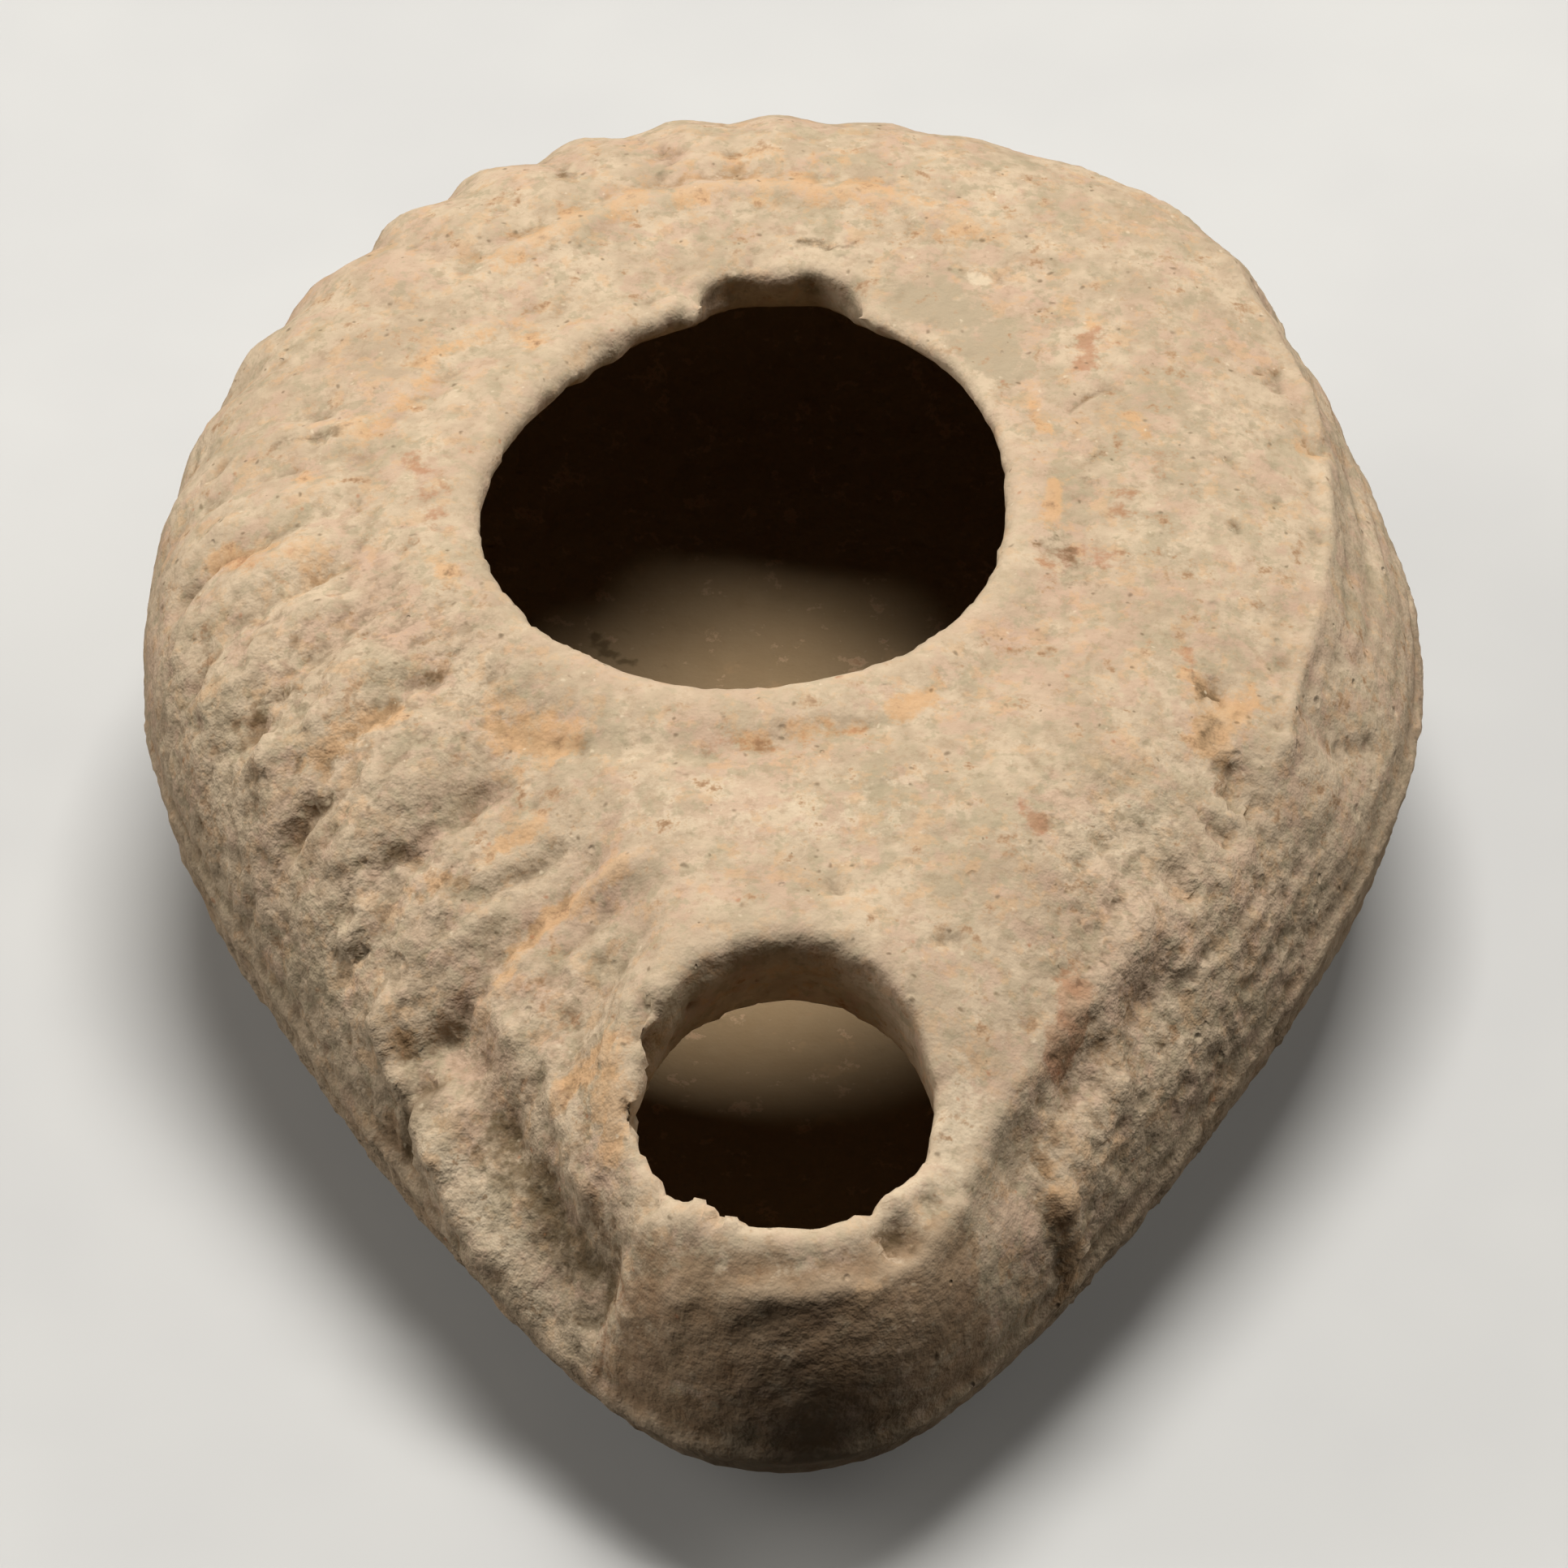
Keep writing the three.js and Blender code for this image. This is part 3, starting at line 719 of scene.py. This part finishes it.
@dataclass
class OilLamp:
    """The lamp: one hollow shell of clay with its relief, wear, stains and painted shade."""

    name: str = "lamp_clay"
    node: str = "lamp"
    voxel: float = 0.553 * MM
    weld: float = 0.01 * MM
    smoothing: int = 9
    fine_rounds: int = 5
    wide_rounds: int = 28
    form: Form = field(default_factory=Form)
    ribs: FanRibs = field(default_factory=FanRibs)
    lines: Lines = field(default_factory=Lines)
    knocks: Knocks = field(default_factory=Knocks)
    wear: Wear = field(default_factory=Wear)
    stains: Stains = field(default_factory=Stains)

    def shell(self) -> bpy.types.Object:
        """Make the fine mesh: a merged copy of the CAD node, remeshed and smoothed.

        Returns:
            The new object, at the origin.
        """
        shape = bmesh.new()
        shape.from_mesh(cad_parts[self.node].data)
        bmesh.ops.remove_doubles(shape, verts=shape.verts, dist=self.weld)
        mesh = bpy.data.meshes.new(self.name)
        shape.to_mesh(mesh)
        shape.free()
        mesh.materials.clear()
        piece = bpy.data.objects.new(self.name, mesh)
        bpy.context.scene.collection.objects.link(piece)
        remesh = piece.modifiers.new("even", "REMESH")
        remesh.mode = "VOXEL"
        remesh.voxel_size = self.voxel
        smooth = piece.modifiers.new("soften", "SMOOTH")
        smooth.factor = 0.5
        smooth.iterations = self.smoothing
        self.apply_modifiers(piece)
        return piece

    def apply_modifiers(self, piece: bpy.types.Object) -> None:
        """Turn a piece's modifiers into its mesh.

        Args:
            piece: The piece, whose old mesh is removed.
        """
        shaped = piece.evaluated_get(bpy.context.evaluated_depsgraph_get())
        finished = bpy.data.meshes.new_from_object(shaped)
        old = piece.data
        piece.modifiers.clear()
        piece.data = finished
        finished.name = self.name
        bpy.data.meshes.remove(old)

    def measured(self, mesh: bpy.types.Mesh) -> tuple[np.ndarray, np.ndarray]:
        """Read a mesh's points and outward directions.

        Args:
            mesh: The mesh to read.

        Returns:
            The points in millimetres and their outward directions.
        """
        points = np.zeros(len(mesh.vertices) * 3)
        normals = np.zeros(len(mesh.vertices) * 3)
        mesh.vertices.foreach_get("co", points)
        mesh.vertex_normals.foreach_get("vector", normals)
        return points.reshape(-1, 3) / MM, normals.reshape(-1, 3)

    def move(self, mesh: bpy.types.Mesh, points: np.ndarray) -> None:
        """Put a mesh's points at new places, given in millimetres."""
        mesh.vertices.foreach_set("co", (points * MM).ravel())
        mesh.update()

    def hollows(self, mesh: bpy.types.Mesh, rounds: int) -> np.ndarray:
        """Measure how far each point lies below the mean of its surroundings.

        Args:
            mesh: The mesh to measure.
            rounds: How many rounds of averaging reach out from each point.

        Returns:
            Millimetres below the surroundings, negative where the point stands proud.
        """
        points, normals = self.measured(mesh)
        ends = np.zeros(len(mesh.edges) * 2, dtype=np.int64)
        mesh.edges.foreach_get("vertices", ends)
        first, second = ends.reshape(-1, 2).T
        count = np.bincount(ends, minlength=len(points))[:, None]
        mean = points
        for _ in range(rounds):
            total = np.stack(
                [
                    np.bincount(first, mean[second, axis], len(points))
                    + np.bincount(second, mean[first, axis], len(points))
                    for axis in range(3)
                ],
                axis=1,
            )
            mean = 0.5 * mean + 0.5 * total / count
        return np.einsum("ij,ij->i", mean - points, normals)

    def relief(self, places: Places) -> tuple[np.ndarray, np.ndarray]:
        """Work out how far each point moves out, and the dirt in the knocks.

        Args:
            places: Where the points are.

        Returns:
            The rise in millimetres and the dirt at each point.
        """
        patchy = lumps(places.points, 4.2, 7)
        ragged = lumps(places.points, 1.2, 8) + 0.6 * lumps(places.points, 0.7, 9)
        deep, dirt = self.knocks.depth(places, ragged)
        moulded = self.ribs.height(places, patchy) + self.lines.height(places, patchy) - deep
        rise = places.top * moulded + self.wear.height(places) + self.wear.streaks(places)
        return rise + self.wear.seam(places, self.form), dirt * places.top

    def paint(self, mesh: bpy.types.Mesh, stain: Stain, strength: np.ndarray) -> None:
        """Store a stain's or painted shade's strength on the mesh, one number a point."""
        layer = mesh.attributes.new(stain.value, "FLOAT", "POINT")
        layer.data.foreach_set("value", np.clip(strength, 0.0, 1.6).astype(np.float32))

    def build(self) -> bpy.types.Object:
        """Make the lamp's finished mesh with its stains and painted shade.

        Returns:
            The piece, without a material.
        """
        piece = self.shell()
        mesh = piece.data
        points, normals = self.measured(mesh)
        places = Places.survey(points, self.form)
        rise, dirt = self.relief(places)
        moved = points + normals * rise[:, None]
        moved[:, 2] = np.maximum(moved[:, 2], 0.0)
        self.move(mesh, moved)
        mesh.shade_smooth()
        # The brown marks among these are painted shade.
        for stain in (Stain.ORANGE, Stain.RED, Stain.GREY, Stain.PALE, Stain.BROWN):
            self.paint(mesh, stain, self.stains.strength(stain, places))
        grime = np.maximum(dirt, self.stains.strength(Stain.DIRT, places))
        self.paint(mesh, Stain.DIRT, np.maximum(grime, self.stains.cracked(places)))
        fine = self.hollows(mesh, self.fine_rounds)
        wide = self.hollows(mesh, self.wide_rounds)
        # Painted shade, partly dirt: how far each point lies in a hollow.
        self.paint(mesh, Stain.HOLLOW, ease(0.02, 0.15, fine + 0.15 * wide))
        self.paint(mesh, Stain.WORN, ease(0.02, 0.15, -fine - 0.2 * wide))
        self.paint(mesh, Stain.INSIDE, places.inside)
        self.paint(mesh, Stain.COARSE, self.wear.rough(places))
        # Painted shade: how strongly the clay darkens below the belt.
        self.paint(mesh, Stain.LOWER, ease(3.0, -3.0, places.z - self.form.belt(places.y)))
        return piece

    def dress(self, piece: bpy.types.Object) -> None:
        """Give the piece its clay and tie it to the frame.

        Args:
            piece: The finished lamp.
        """
        piece.data.materials.append(FiredClay().material())
        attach(piece, "root")
        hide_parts(self.node)


@dataclass
class Nodes:
    """A small hand for wiring shader nodes in one tree."""

    FIRST_COLOUR: ClassVar[int] = 6
    SECOND_COLOUR: ClassVar[int] = 7
    MIXED_COLOUR: ClassVar[int] = 2

    tree: bpy.types.NodeTree

    def add(self, kind: str, inputs: dict | None = None, **settings: object) -> bpy.types.Node:
        """Add a node.

        Args:
            kind: The node's type.
            inputs: What feeds its inputs, by their names or numbers.
            **settings: Its own settings by their names.

        Returns:
            The node.
        """
        node = self.tree.nodes.new(kind)
        for name, value in settings.items():
            setattr(node, name, value)
        for name, value in (inputs or {}).items():
            self.feed(node.inputs[name], value)
        return node

    def feed(self, socket: bpy.types.NodeSocket, value: object) -> None:
        """Feed a socket.

        Args:
            socket: The socket to feed.
            value: Another socket to link, or a plain value to set.
        """
        if isinstance(value, bpy.types.NodeSocket):
            self.tree.links.new(value, socket)
        else:
            socket.default_value = value

    def noise(self, place: object, size: float, detail: float, rough: float) -> bpy.types.NodeSocket:
        """Add noise whose lumps are a size in metres apart, and give its value."""
        inputs = {"Vector": place, "Scale": 1 / size, "Detail": detail, "Roughness": rough}
        return self.add("ShaderNodeTexNoise", inputs).outputs["Fac"]

    def step(self, value: object, low: float, high: float) -> bpy.types.NodeSocket:
        """Add a smooth step from 0 at a low value to 1 at a high one."""
        inputs = {"Value": value, "From Min": low, "From Max": high}
        return self.add("ShaderNodeMapRange", inputs, interpolation_type="SMOOTHSTEP").outputs["Result"]

    def math(self, operation: str, first: object, second: object) -> bpy.types.NodeSocket:
        """Add an operation on two values and give its result."""
        return self.add("ShaderNodeMath", {0: first, 1: second}, operation=operation).outputs["Value"]

    def times(self, first: object, second: object) -> bpy.types.NodeSocket:
        """Add a product of two values."""
        return self.math("MULTIPLY", first, second)

    def plus(self, first: object, second: object) -> bpy.types.NodeSocket:
        """Add a sum of two values."""
        return self.math("ADD", first, second)

    def blend(self, factor: object, first: object, second: object) -> bpy.types.NodeSocket:
        """Add a mix of two colours, where the factor is the second colour's share."""
        inputs = {"Factor": factor, self.FIRST_COLOUR: first, self.SECOND_COLOUR: second}
        return self.add("ShaderNodeMix", inputs, data_type="RGBA").outputs[self.MIXED_COLOUR]

    def attribute(self, stain: Stain) -> bpy.types.NodeSocket:
        """Read one of the piece's own stains."""
        return self.add("ShaderNodeAttribute", attribute_name=stain.value).outputs["Fac"]

    def group(self, tree: bpy.types.NodeTree, **inputs: object) -> bpy.types.Node:
        """Place a node group and feed its named inputs."""
        return self.add("ShaderNodeGroup", inputs, node_tree=tree)


def new_group(name: str, inputs: dict[str, tuple[str, object]], outputs: dict[str, str]) -> tuple:
    """Start a shader node group with named sockets.

    Args:
        name: The group's name.
        inputs: Each input's socket type and first value, by name.
        outputs: Each output's socket type, by name.

    Returns:
        The group, a hand for its nodes, its input node and its output node.
    """
    tree = bpy.data.node_groups.new(name, "ShaderNodeTree")
    for label, (kind, value) in inputs.items():
        socket = tree.interface.new_socket(label, in_out="INPUT", socket_type=kind)
        if value is not None:
            socket.default_value = value
    for label, kind in outputs.items():
        tree.interface.new_socket(label, in_out="OUTPUT", socket_type=kind)
    hand = Nodes(tree)
    return tree, hand, hand.add("NodeGroupInput"), hand.add("NodeGroupOutput")


@dataclass(frozen=True)
class Mottle:
    """Uneven tone: a colour drifts between two others, from broad clouds to fine grain."""

    def group(self) -> bpy.types.NodeTree:
        """Build the node group once and give it back after that.

        Returns:
            The group.
        """
        made = bpy.data.node_groups.get("mottle")
        if made:
            return made
        tree, hand, taken, given = new_group(
            "mottle",
            {
                "Vector": ("NodeSocketVector", None),
                "Light": ("NodeSocketColor", (0.6, 0.5, 0.4, 1)),
                "Dark": ("NodeSocketColor", (0.4, 0.3, 0.2, 1)),
                "Cloud": ("NodeSocketFloat", 100.0),
            },
            {"Color": "NodeSocketColor"},
        )
        values = []
        for ratio, detail in ((1.0, 2.0), (5.0, 2.0)):
            scale = hand.times(taken.outputs["Cloud"], ratio)
            inputs = {"Vector": taken.outputs["Vector"], "Scale": scale, "Detail": detail, "Roughness": 0.6}
            values.append(hand.add("ShaderNodeTexNoise", inputs).outputs["Fac"])
        mean = hand.plus(hand.times(values[0], 0.55), hand.times(values[1], 0.45))
        share = hand.step(mean, 0.36, 0.64)
        hand.feed(given.inputs["Color"], hand.blend(share, taken.outputs["Dark"], taken.outputs["Light"]))
        return tree


@dataclass(frozen=True)
class Grit:
    """Scattered specks of one size, more or fewer, as a mask."""

    bend: float = 0.0004
    bend_ratio: float = 1.1

    def group(self) -> bpy.types.NodeTree:
        """Build the node group once and give it back after that.

        Returns:
            The group.
        """
        made = bpy.data.node_groups.get("grit")
        if made:
            return made
        tree, hand, taken, given = new_group(
            "grit",
            {
                "Vector": ("NodeSocketVector", None),
                "Density": ("NodeSocketFloat", 1000.0),
                "Size": ("NodeSocketFloat", 0.25),
                "Share": ("NodeSocketFloat", 0.2),
            },
            {"Mask": "NodeSocketFloat"},
        )
        place, density = taken.outputs["Vector"], taken.outputs["Density"]
        inputs = {"Vector": place, "Scale": hand.times(density, self.bend_ratio), "Detail": 0.0}
        bend = hand.add("ShaderNodeTexNoise", inputs)
        inputs = {0: bend.outputs["Color"], 1: (self.bend,) * 3, 2: place}
        pushed = hand.add("ShaderNodeVectorMath", inputs, operation="MULTIPLY_ADD")
        inputs = {"Vector": pushed.outputs["Vector"], "Scale": density}
        cells = hand.add("ShaderNodeTexVoronoi", inputs, feature="F1")
        pick = hand.add("ShaderNodeSeparateColor", {"Color": cells.outputs["Color"]})
        chosen = hand.math("LESS_THAN", pick.outputs["Red"], taken.outputs["Share"])
        size = hand.times(taken.outputs["Size"], hand.plus(pick.outputs["Green"], 0.3))
        round_ = hand.math("SUBTRACT", 1.0, hand.math("DIVIDE", cells.outputs["Distance"], size))
        edge = hand.step(round_, 0.0, 0.8)
        hand.feed(given.inputs["Mask"], hand.times(edge, chosen))
        return tree


@dataclass(frozen=True)
class FiredClay:
    """Buff fired clay, weathered: its tones, stains, painted shade, specks and rough face."""

    name: str = "fired_clay"
    buff: tuple = (0.610, 0.478, 0.332, 1)
    tan: tuple = (0.455, 0.344, 0.232, 1)
    pink: tuple = (0.545, 0.368, 0.262, 1)
    olive: tuple = (0.385, 0.318, 0.205, 1)
    orange: tuple = (0.625, 0.372, 0.185, 1)
    red: tuple = (0.400, 0.165, 0.075, 1)
    # Dirt colour, also used for painted shade in the hollows.
    dirt: tuple = (0.118, 0.078, 0.036, 1)
    grey: tuple = (0.420, 0.335, 0.225, 1)
    pale: tuple = (0.700, 0.575, 0.410, 1)
    # Brown clay tone, also used for painted shade.
    brown: tuple = (0.330, 0.213, 0.122, 1)
    inner: tuple = (0.262, 0.178, 0.092, 1)
    roughness: float = 0.92
    specular: float = 0.25
    relief_strength: float = 0.9
    relief_depth: float = 0.0006
    least_grain: float = 0.3
    coarse_grain: float = 0.38
    pit_grain: float = 0.2

    def moved(self, hand: Nodes, place: bpy.types.NodeSocket, step: float) -> bpy.types.NodeSocket:
        """Shift a pattern sideways, so that two patterns of one kind don't coincide."""
        inputs = {"Vector": place, "Location": (91 * step, 37 * step, 53 * step)}
        return hand.add("ShaderNodeMapping", inputs).outputs["Vector"]

    def tone(self, hand: Nodes, place: bpy.types.NodeSocket) -> bpy.types.NodeSocket:
        """Wire the clay's own tone, with painted shade below the belt, before stains.

        Args:
            hand: The hand for the clay's nodes.
            place: Where the patterns are read.

        Returns:
            The tone.
        """
        body = hand.group(Mottle().group(), Vector=place, Light=self.buff, Dark=self.tan, Cloud=170.0)
        tone = body.outputs["Color"]
        for size, low, high, colour, full in (
            (0.0090, 0.50, 0.66, self.pink, 0.50),
            (0.0042, 0.52, 0.63, self.olive, 0.50),
            (0.0026, 0.52, 0.61, self.pink, 0.56),
            (0.0015, 0.53, 0.63, self.orange, 0.36),
            (0.0011, 0.52, 0.65, self.olive, 0.62),
            (0.0007, 0.52, 0.64, self.brown, 0.26),
        ):
            patch = hand.step(hand.noise(self.moved(hand, place, size), size, 3, 0.7), low, high)
            tone = hand.blend(hand.times(patch, full), tone, colour)
        # Painted shade: below the belt the clay turns darker and browner.
        shade_below = hand.group(Mottle().group(), Vector=place, Light=self.tan, Dark=self.brown, Cloud=160.0)
        lower = hand.times(hand.attribute(Stain.LOWER), 0.75)
        tone = hand.blend(lower, tone, shade_below.outputs["Color"])
        return hand.blend(hand.times(hand.attribute(Stain.INSIDE), 0.9), tone, self.inner)

    def stained(self, hand: Nodes, place: bpy.types.NodeSocket, tone: object) -> bpy.types.NodeSocket:
        """Wire the stains, dirt and painted shade over the tone.

        Args:
            hand: The hand for the clay's nodes.
            place: Where the patterns are read.
            tone: The clay's own tone.

        Returns:
            The stained tone.
        """
        torn = hand.noise(place, 0.0019, 4, 0.72)
        for stain, colour, full in (
            (Stain.PALE, self.pale, 0.75),
            (Stain.GREY, self.grey, 0.9),
            (Stain.ORANGE, self.orange, 0.75),
            (Stain.RED, self.red, 0.6),
            # Painted shade: the brown marks darken the clay.
            (Stain.BROWN, self.brown, 0.8),
        ):
            cover = hand.plus(hand.attribute(stain), hand.times(torn, 3.6))
            cover = hand.step(cover, 2.1, 2.75)
            tone = hand.blend(hand.times(cover, full), tone, colour)
        stray = hand.step(hand.noise(place, 0.0048, 4, 0.72), 0.60, 0.68)
        stray = hand.times(stray, hand.plus(0.25, hand.attribute(Stain.WORN)))
        tone = hand.blend(hand.times(stray, 0.5), tone, self.orange)
        # Painted shade, partly dirt: the hollows darken toward the dirt colour.
        low = hand.times(hand.attribute(Stain.HOLLOW), hand.step(torn, 0.35, 0.62))
        tone = hand.blend(hand.times(low, 0.52), tone, self.dirt)
        grime = hand.plus(hand.attribute(Stain.DIRT), hand.times(torn, 3.0))
        tone = hand.blend(hand.times(hand.step(grime, 1.85, 2.7), 0.8), tone, self.dirt)
        sooty = hand.step(hand.noise(self.moved(hand, place, 0.02), 0.0008, 2, 0.7), 0.50, 0.62)
        sooty = hand.times(sooty, hand.step(hand.attribute(Stain.COARSE), 0.45, 1.3))
        tone = hand.blend(hand.times(sooty, 0.32), tone, self.dirt)
        worn = hand.times(hand.attribute(Stain.WORN), 0.35)
        return hand.blend(worn, tone, self.buff)

    def specks(self, hand: Nodes, place: bpy.types.NodeSocket, tone: object) -> bpy.types.NodeSocket:
        """Wire the fine specks in the clay.

        Args:
            hand: The hand for the clay's nodes.
            place: Where the specks are read.
            tone: The stained tone.

        Returns:
            The tone with its specks.
        """
        for density, size, share, colour, full in (
            (1600.0, 0.32, 0.14, self.dirt, 0.6),
            (1300.0, 0.26, 0.04, self.red, 0.6),
            (1900.0, 0.28, 0.10, self.pale, 0.6),
        ):
            mask = hand.group(Grit().group(), Vector=place, Density=density, Size=size, Share=share)
            hidden = hand.times(hand.attribute(Stain.INSIDE), 0.85 * full)
            bare = hand.math("SUBTRACT", full, hidden)
            tone = hand.blend(hand.times(mask.outputs["Mask"], bare), tone, colour)
        return tone

    def face(self, hand: Nodes, place: bpy.types.NodeSocket) -> bpy.types.NodeSocket:
        """Wire the height of the clay's fine grain.

        Args:
            hand: The hand for the clay's nodes.
            place: Where the grain is read.

        Returns:
            The height.
        """
        coarse = hand.times(hand.noise(place, 0.0010, 3, 0.62), 0.7)
        apart = self.moved(hand, place, 0.01)
        pits = hand.group(Grit().group(), Vector=apart, Density=900.0, Size=0.4, Share=0.08)
        rough = hand.plus(self.least_grain, hand.times(hand.attribute(Stain.COARSE), self.coarse_grain))
        height = hand.times(coarse, rough)
        return hand.math("SUBTRACT", height, hand.times(pits.outputs["Mask"], self.pit_grain))

    def material(self) -> bpy.types.Material:
        """Build the clay's material.

        Returns:
            The material.
        """
        clay = bpy.data.materials.new(self.name)
        clay.use_nodes = True
        hand = Nodes(clay.node_tree)
        surface = clay.node_tree.nodes["Principled BSDF"]
        place = hand.add("ShaderNodeTexCoord").outputs["Object"]
        tone = self.stained(hand, place, self.tone(hand, place))
        hand.feed(surface.inputs["Base Color"], self.specks(hand, place, tone))
        surface.inputs["Roughness"].default_value = self.roughness
        surface.inputs["Specular IOR Level"].default_value = self.specular
        height = self.face(hand, place)
        inputs = {"Strength": self.relief_strength, "Distance": self.relief_depth, "Height": height}
        hand.feed(surface.inputs["Normal"], hand.add("ShaderNodeBump", inputs).outputs["Normal"])
        return clay


@dataclass(frozen=True)
class PaleCard:
    """The plain pale sheet the lamp stands on."""

    name: str = "pale_card"
    light: tuple = (0.60, 0.60, 0.59, 1)
    dark: tuple = (0.57, 0.57, 0.565, 1)
    roughness: float = 0.95

    def material(self) -> bpy.types.Material:
        """Build the sheet's material.

        Returns:
            The material.
        """
        card = bpy.data.materials.new(self.name)
        card.use_nodes = True
        hand = Nodes(card.node_tree)
        surface = card.node_tree.nodes["Principled BSDF"]
        place = hand.add("ShaderNodeTexCoord").outputs["Object"]
        tone = hand.group(Mottle().group(), Vector=place, Light=self.light, Dark=self.dark, Cloud=12.0)
        hand.feed(surface.inputs["Base Color"], tone.outputs["Color"])
        surface.inputs["Roughness"].default_value = self.roughness
        return card


@dataclass(frozen=True)
class Lamp:
    """A soft oblong studio light: where it stands, its two sides and its power."""

    name: str
    place: tuple[float, float, float]
    width: float
    depth: float
    watts: float
    warmth: tuple[float, float, float]


@dataclass
class Studio:
    """A pale floor, soft lights and the camera."""

    target: Vector = field(default_factory=lambda: Vector((0.0, 0.00104, 0.0128)))
    elevation: float = 42.0
    distance: float = 0.575
    focal: float = 240.1
    floor_radius: float = 3.0
    sky: float = 0.02
    sky_colour: tuple = (1.0, 0.94, 0.84, 1.0)
    lamps: tuple[Lamp, ...] = (
        Lamp("key", (0.03, 0.148, 0.85), 0.46, 0.32, 8.0, (1.0, 0.98, 0.945)),
        Lamp("left", (-0.62, 0.08, 0.27), 0.4, 0.4, 2.2, (1.0, 0.965, 0.91)),
        Lamp("right", (0.62, 0.20, 0.34), 0.4, 0.4, 1.6, (1.0, 0.965, 0.91)),
    )

    def floor(self) -> bpy.types.Object:
        """Make the floor as a broad disc at the lamp's foot; it casts no light back on the clay.

        Returns:
            The floor.
        """
        disc = bmesh.new()
        bmesh.ops.create_circle(disc, cap_ends=True, segments=96, radius=self.floor_radius)
        mesh = bpy.data.meshes.new("floor")
        disc.to_mesh(mesh)
        disc.free()
        sheet = bpy.data.objects.new("floor", mesh)
        bpy.context.scene.collection.objects.link(sheet)
        mesh.materials.append(PaleCard().material())
        sheet.visible_diffuse = False
        return sheet

    def light(self, lamp: Lamp) -> None:
        """Hang one soft light and turn it to the clay lamp.

        Args:
            lamp: The light's place, size and power.
        """
        data = bpy.data.lights.new(lamp.name, "AREA")
        data.shape = "RECTANGLE"
        data.size = lamp.width
        data.size_y = lamp.depth
        data.energy = lamp.watts
        data.color = lamp.warmth
        hung = bpy.data.objects.new(lamp.name, data)
        hung.location = lamp.place
        hung.rotation_euler = (self.target - hung.location).to_track_quat("-Z", "Y").to_euler()
        bpy.context.scene.collection.objects.link(hung)

    def camera(self) -> None:
        """Stand the camera in front of the lamp and above it."""
        data = bpy.data.cameras.new("camera")
        data.lens = self.focal
        data.clip_start = 0.01
        eye = bpy.data.objects.new("camera", data)
        rise = math.radians(self.elevation)
        eye.location = self.target + self.distance * Vector((0.0, -math.cos(rise), math.sin(rise)))
        eye.rotation_euler = Euler((math.radians(90.0 - self.elevation), 0.0, 0.0))
        bpy.context.scene.collection.objects.link(eye)
        bpy.context.scene.camera = eye

    def build(self) -> None:
        """Set up floor, lights, surroundings and camera."""
        self.floor()
        for lamp in self.lamps:
            self.light(lamp)
        world = bpy.data.worlds.new("studio")
        world.use_nodes = True
        back = world.node_tree.nodes["Background"]
        back.inputs["Color"].default_value = self.sky_colour
        back.inputs["Strength"].default_value = self.sky
        bpy.context.scene.world = world
        bpy.context.scene.view_settings.view_transform = "Standard"
        self.camera()


def main() -> None:
    """Build the studio and the lamp, and report each piece."""
    logging.basicConfig(level=logging.INFO, format="%(message)s")
    log = logging.getLogger("lamp")
    Studio().build()
    lamp = OilLamp()
    piece = lamp.build()
    lamp.dress(piece)
    log.info("%s: %d points, %d faces", piece.name, len(piece.data.vertices), len(piece.data.polygons))


if __name__ == "__main__":
    main()
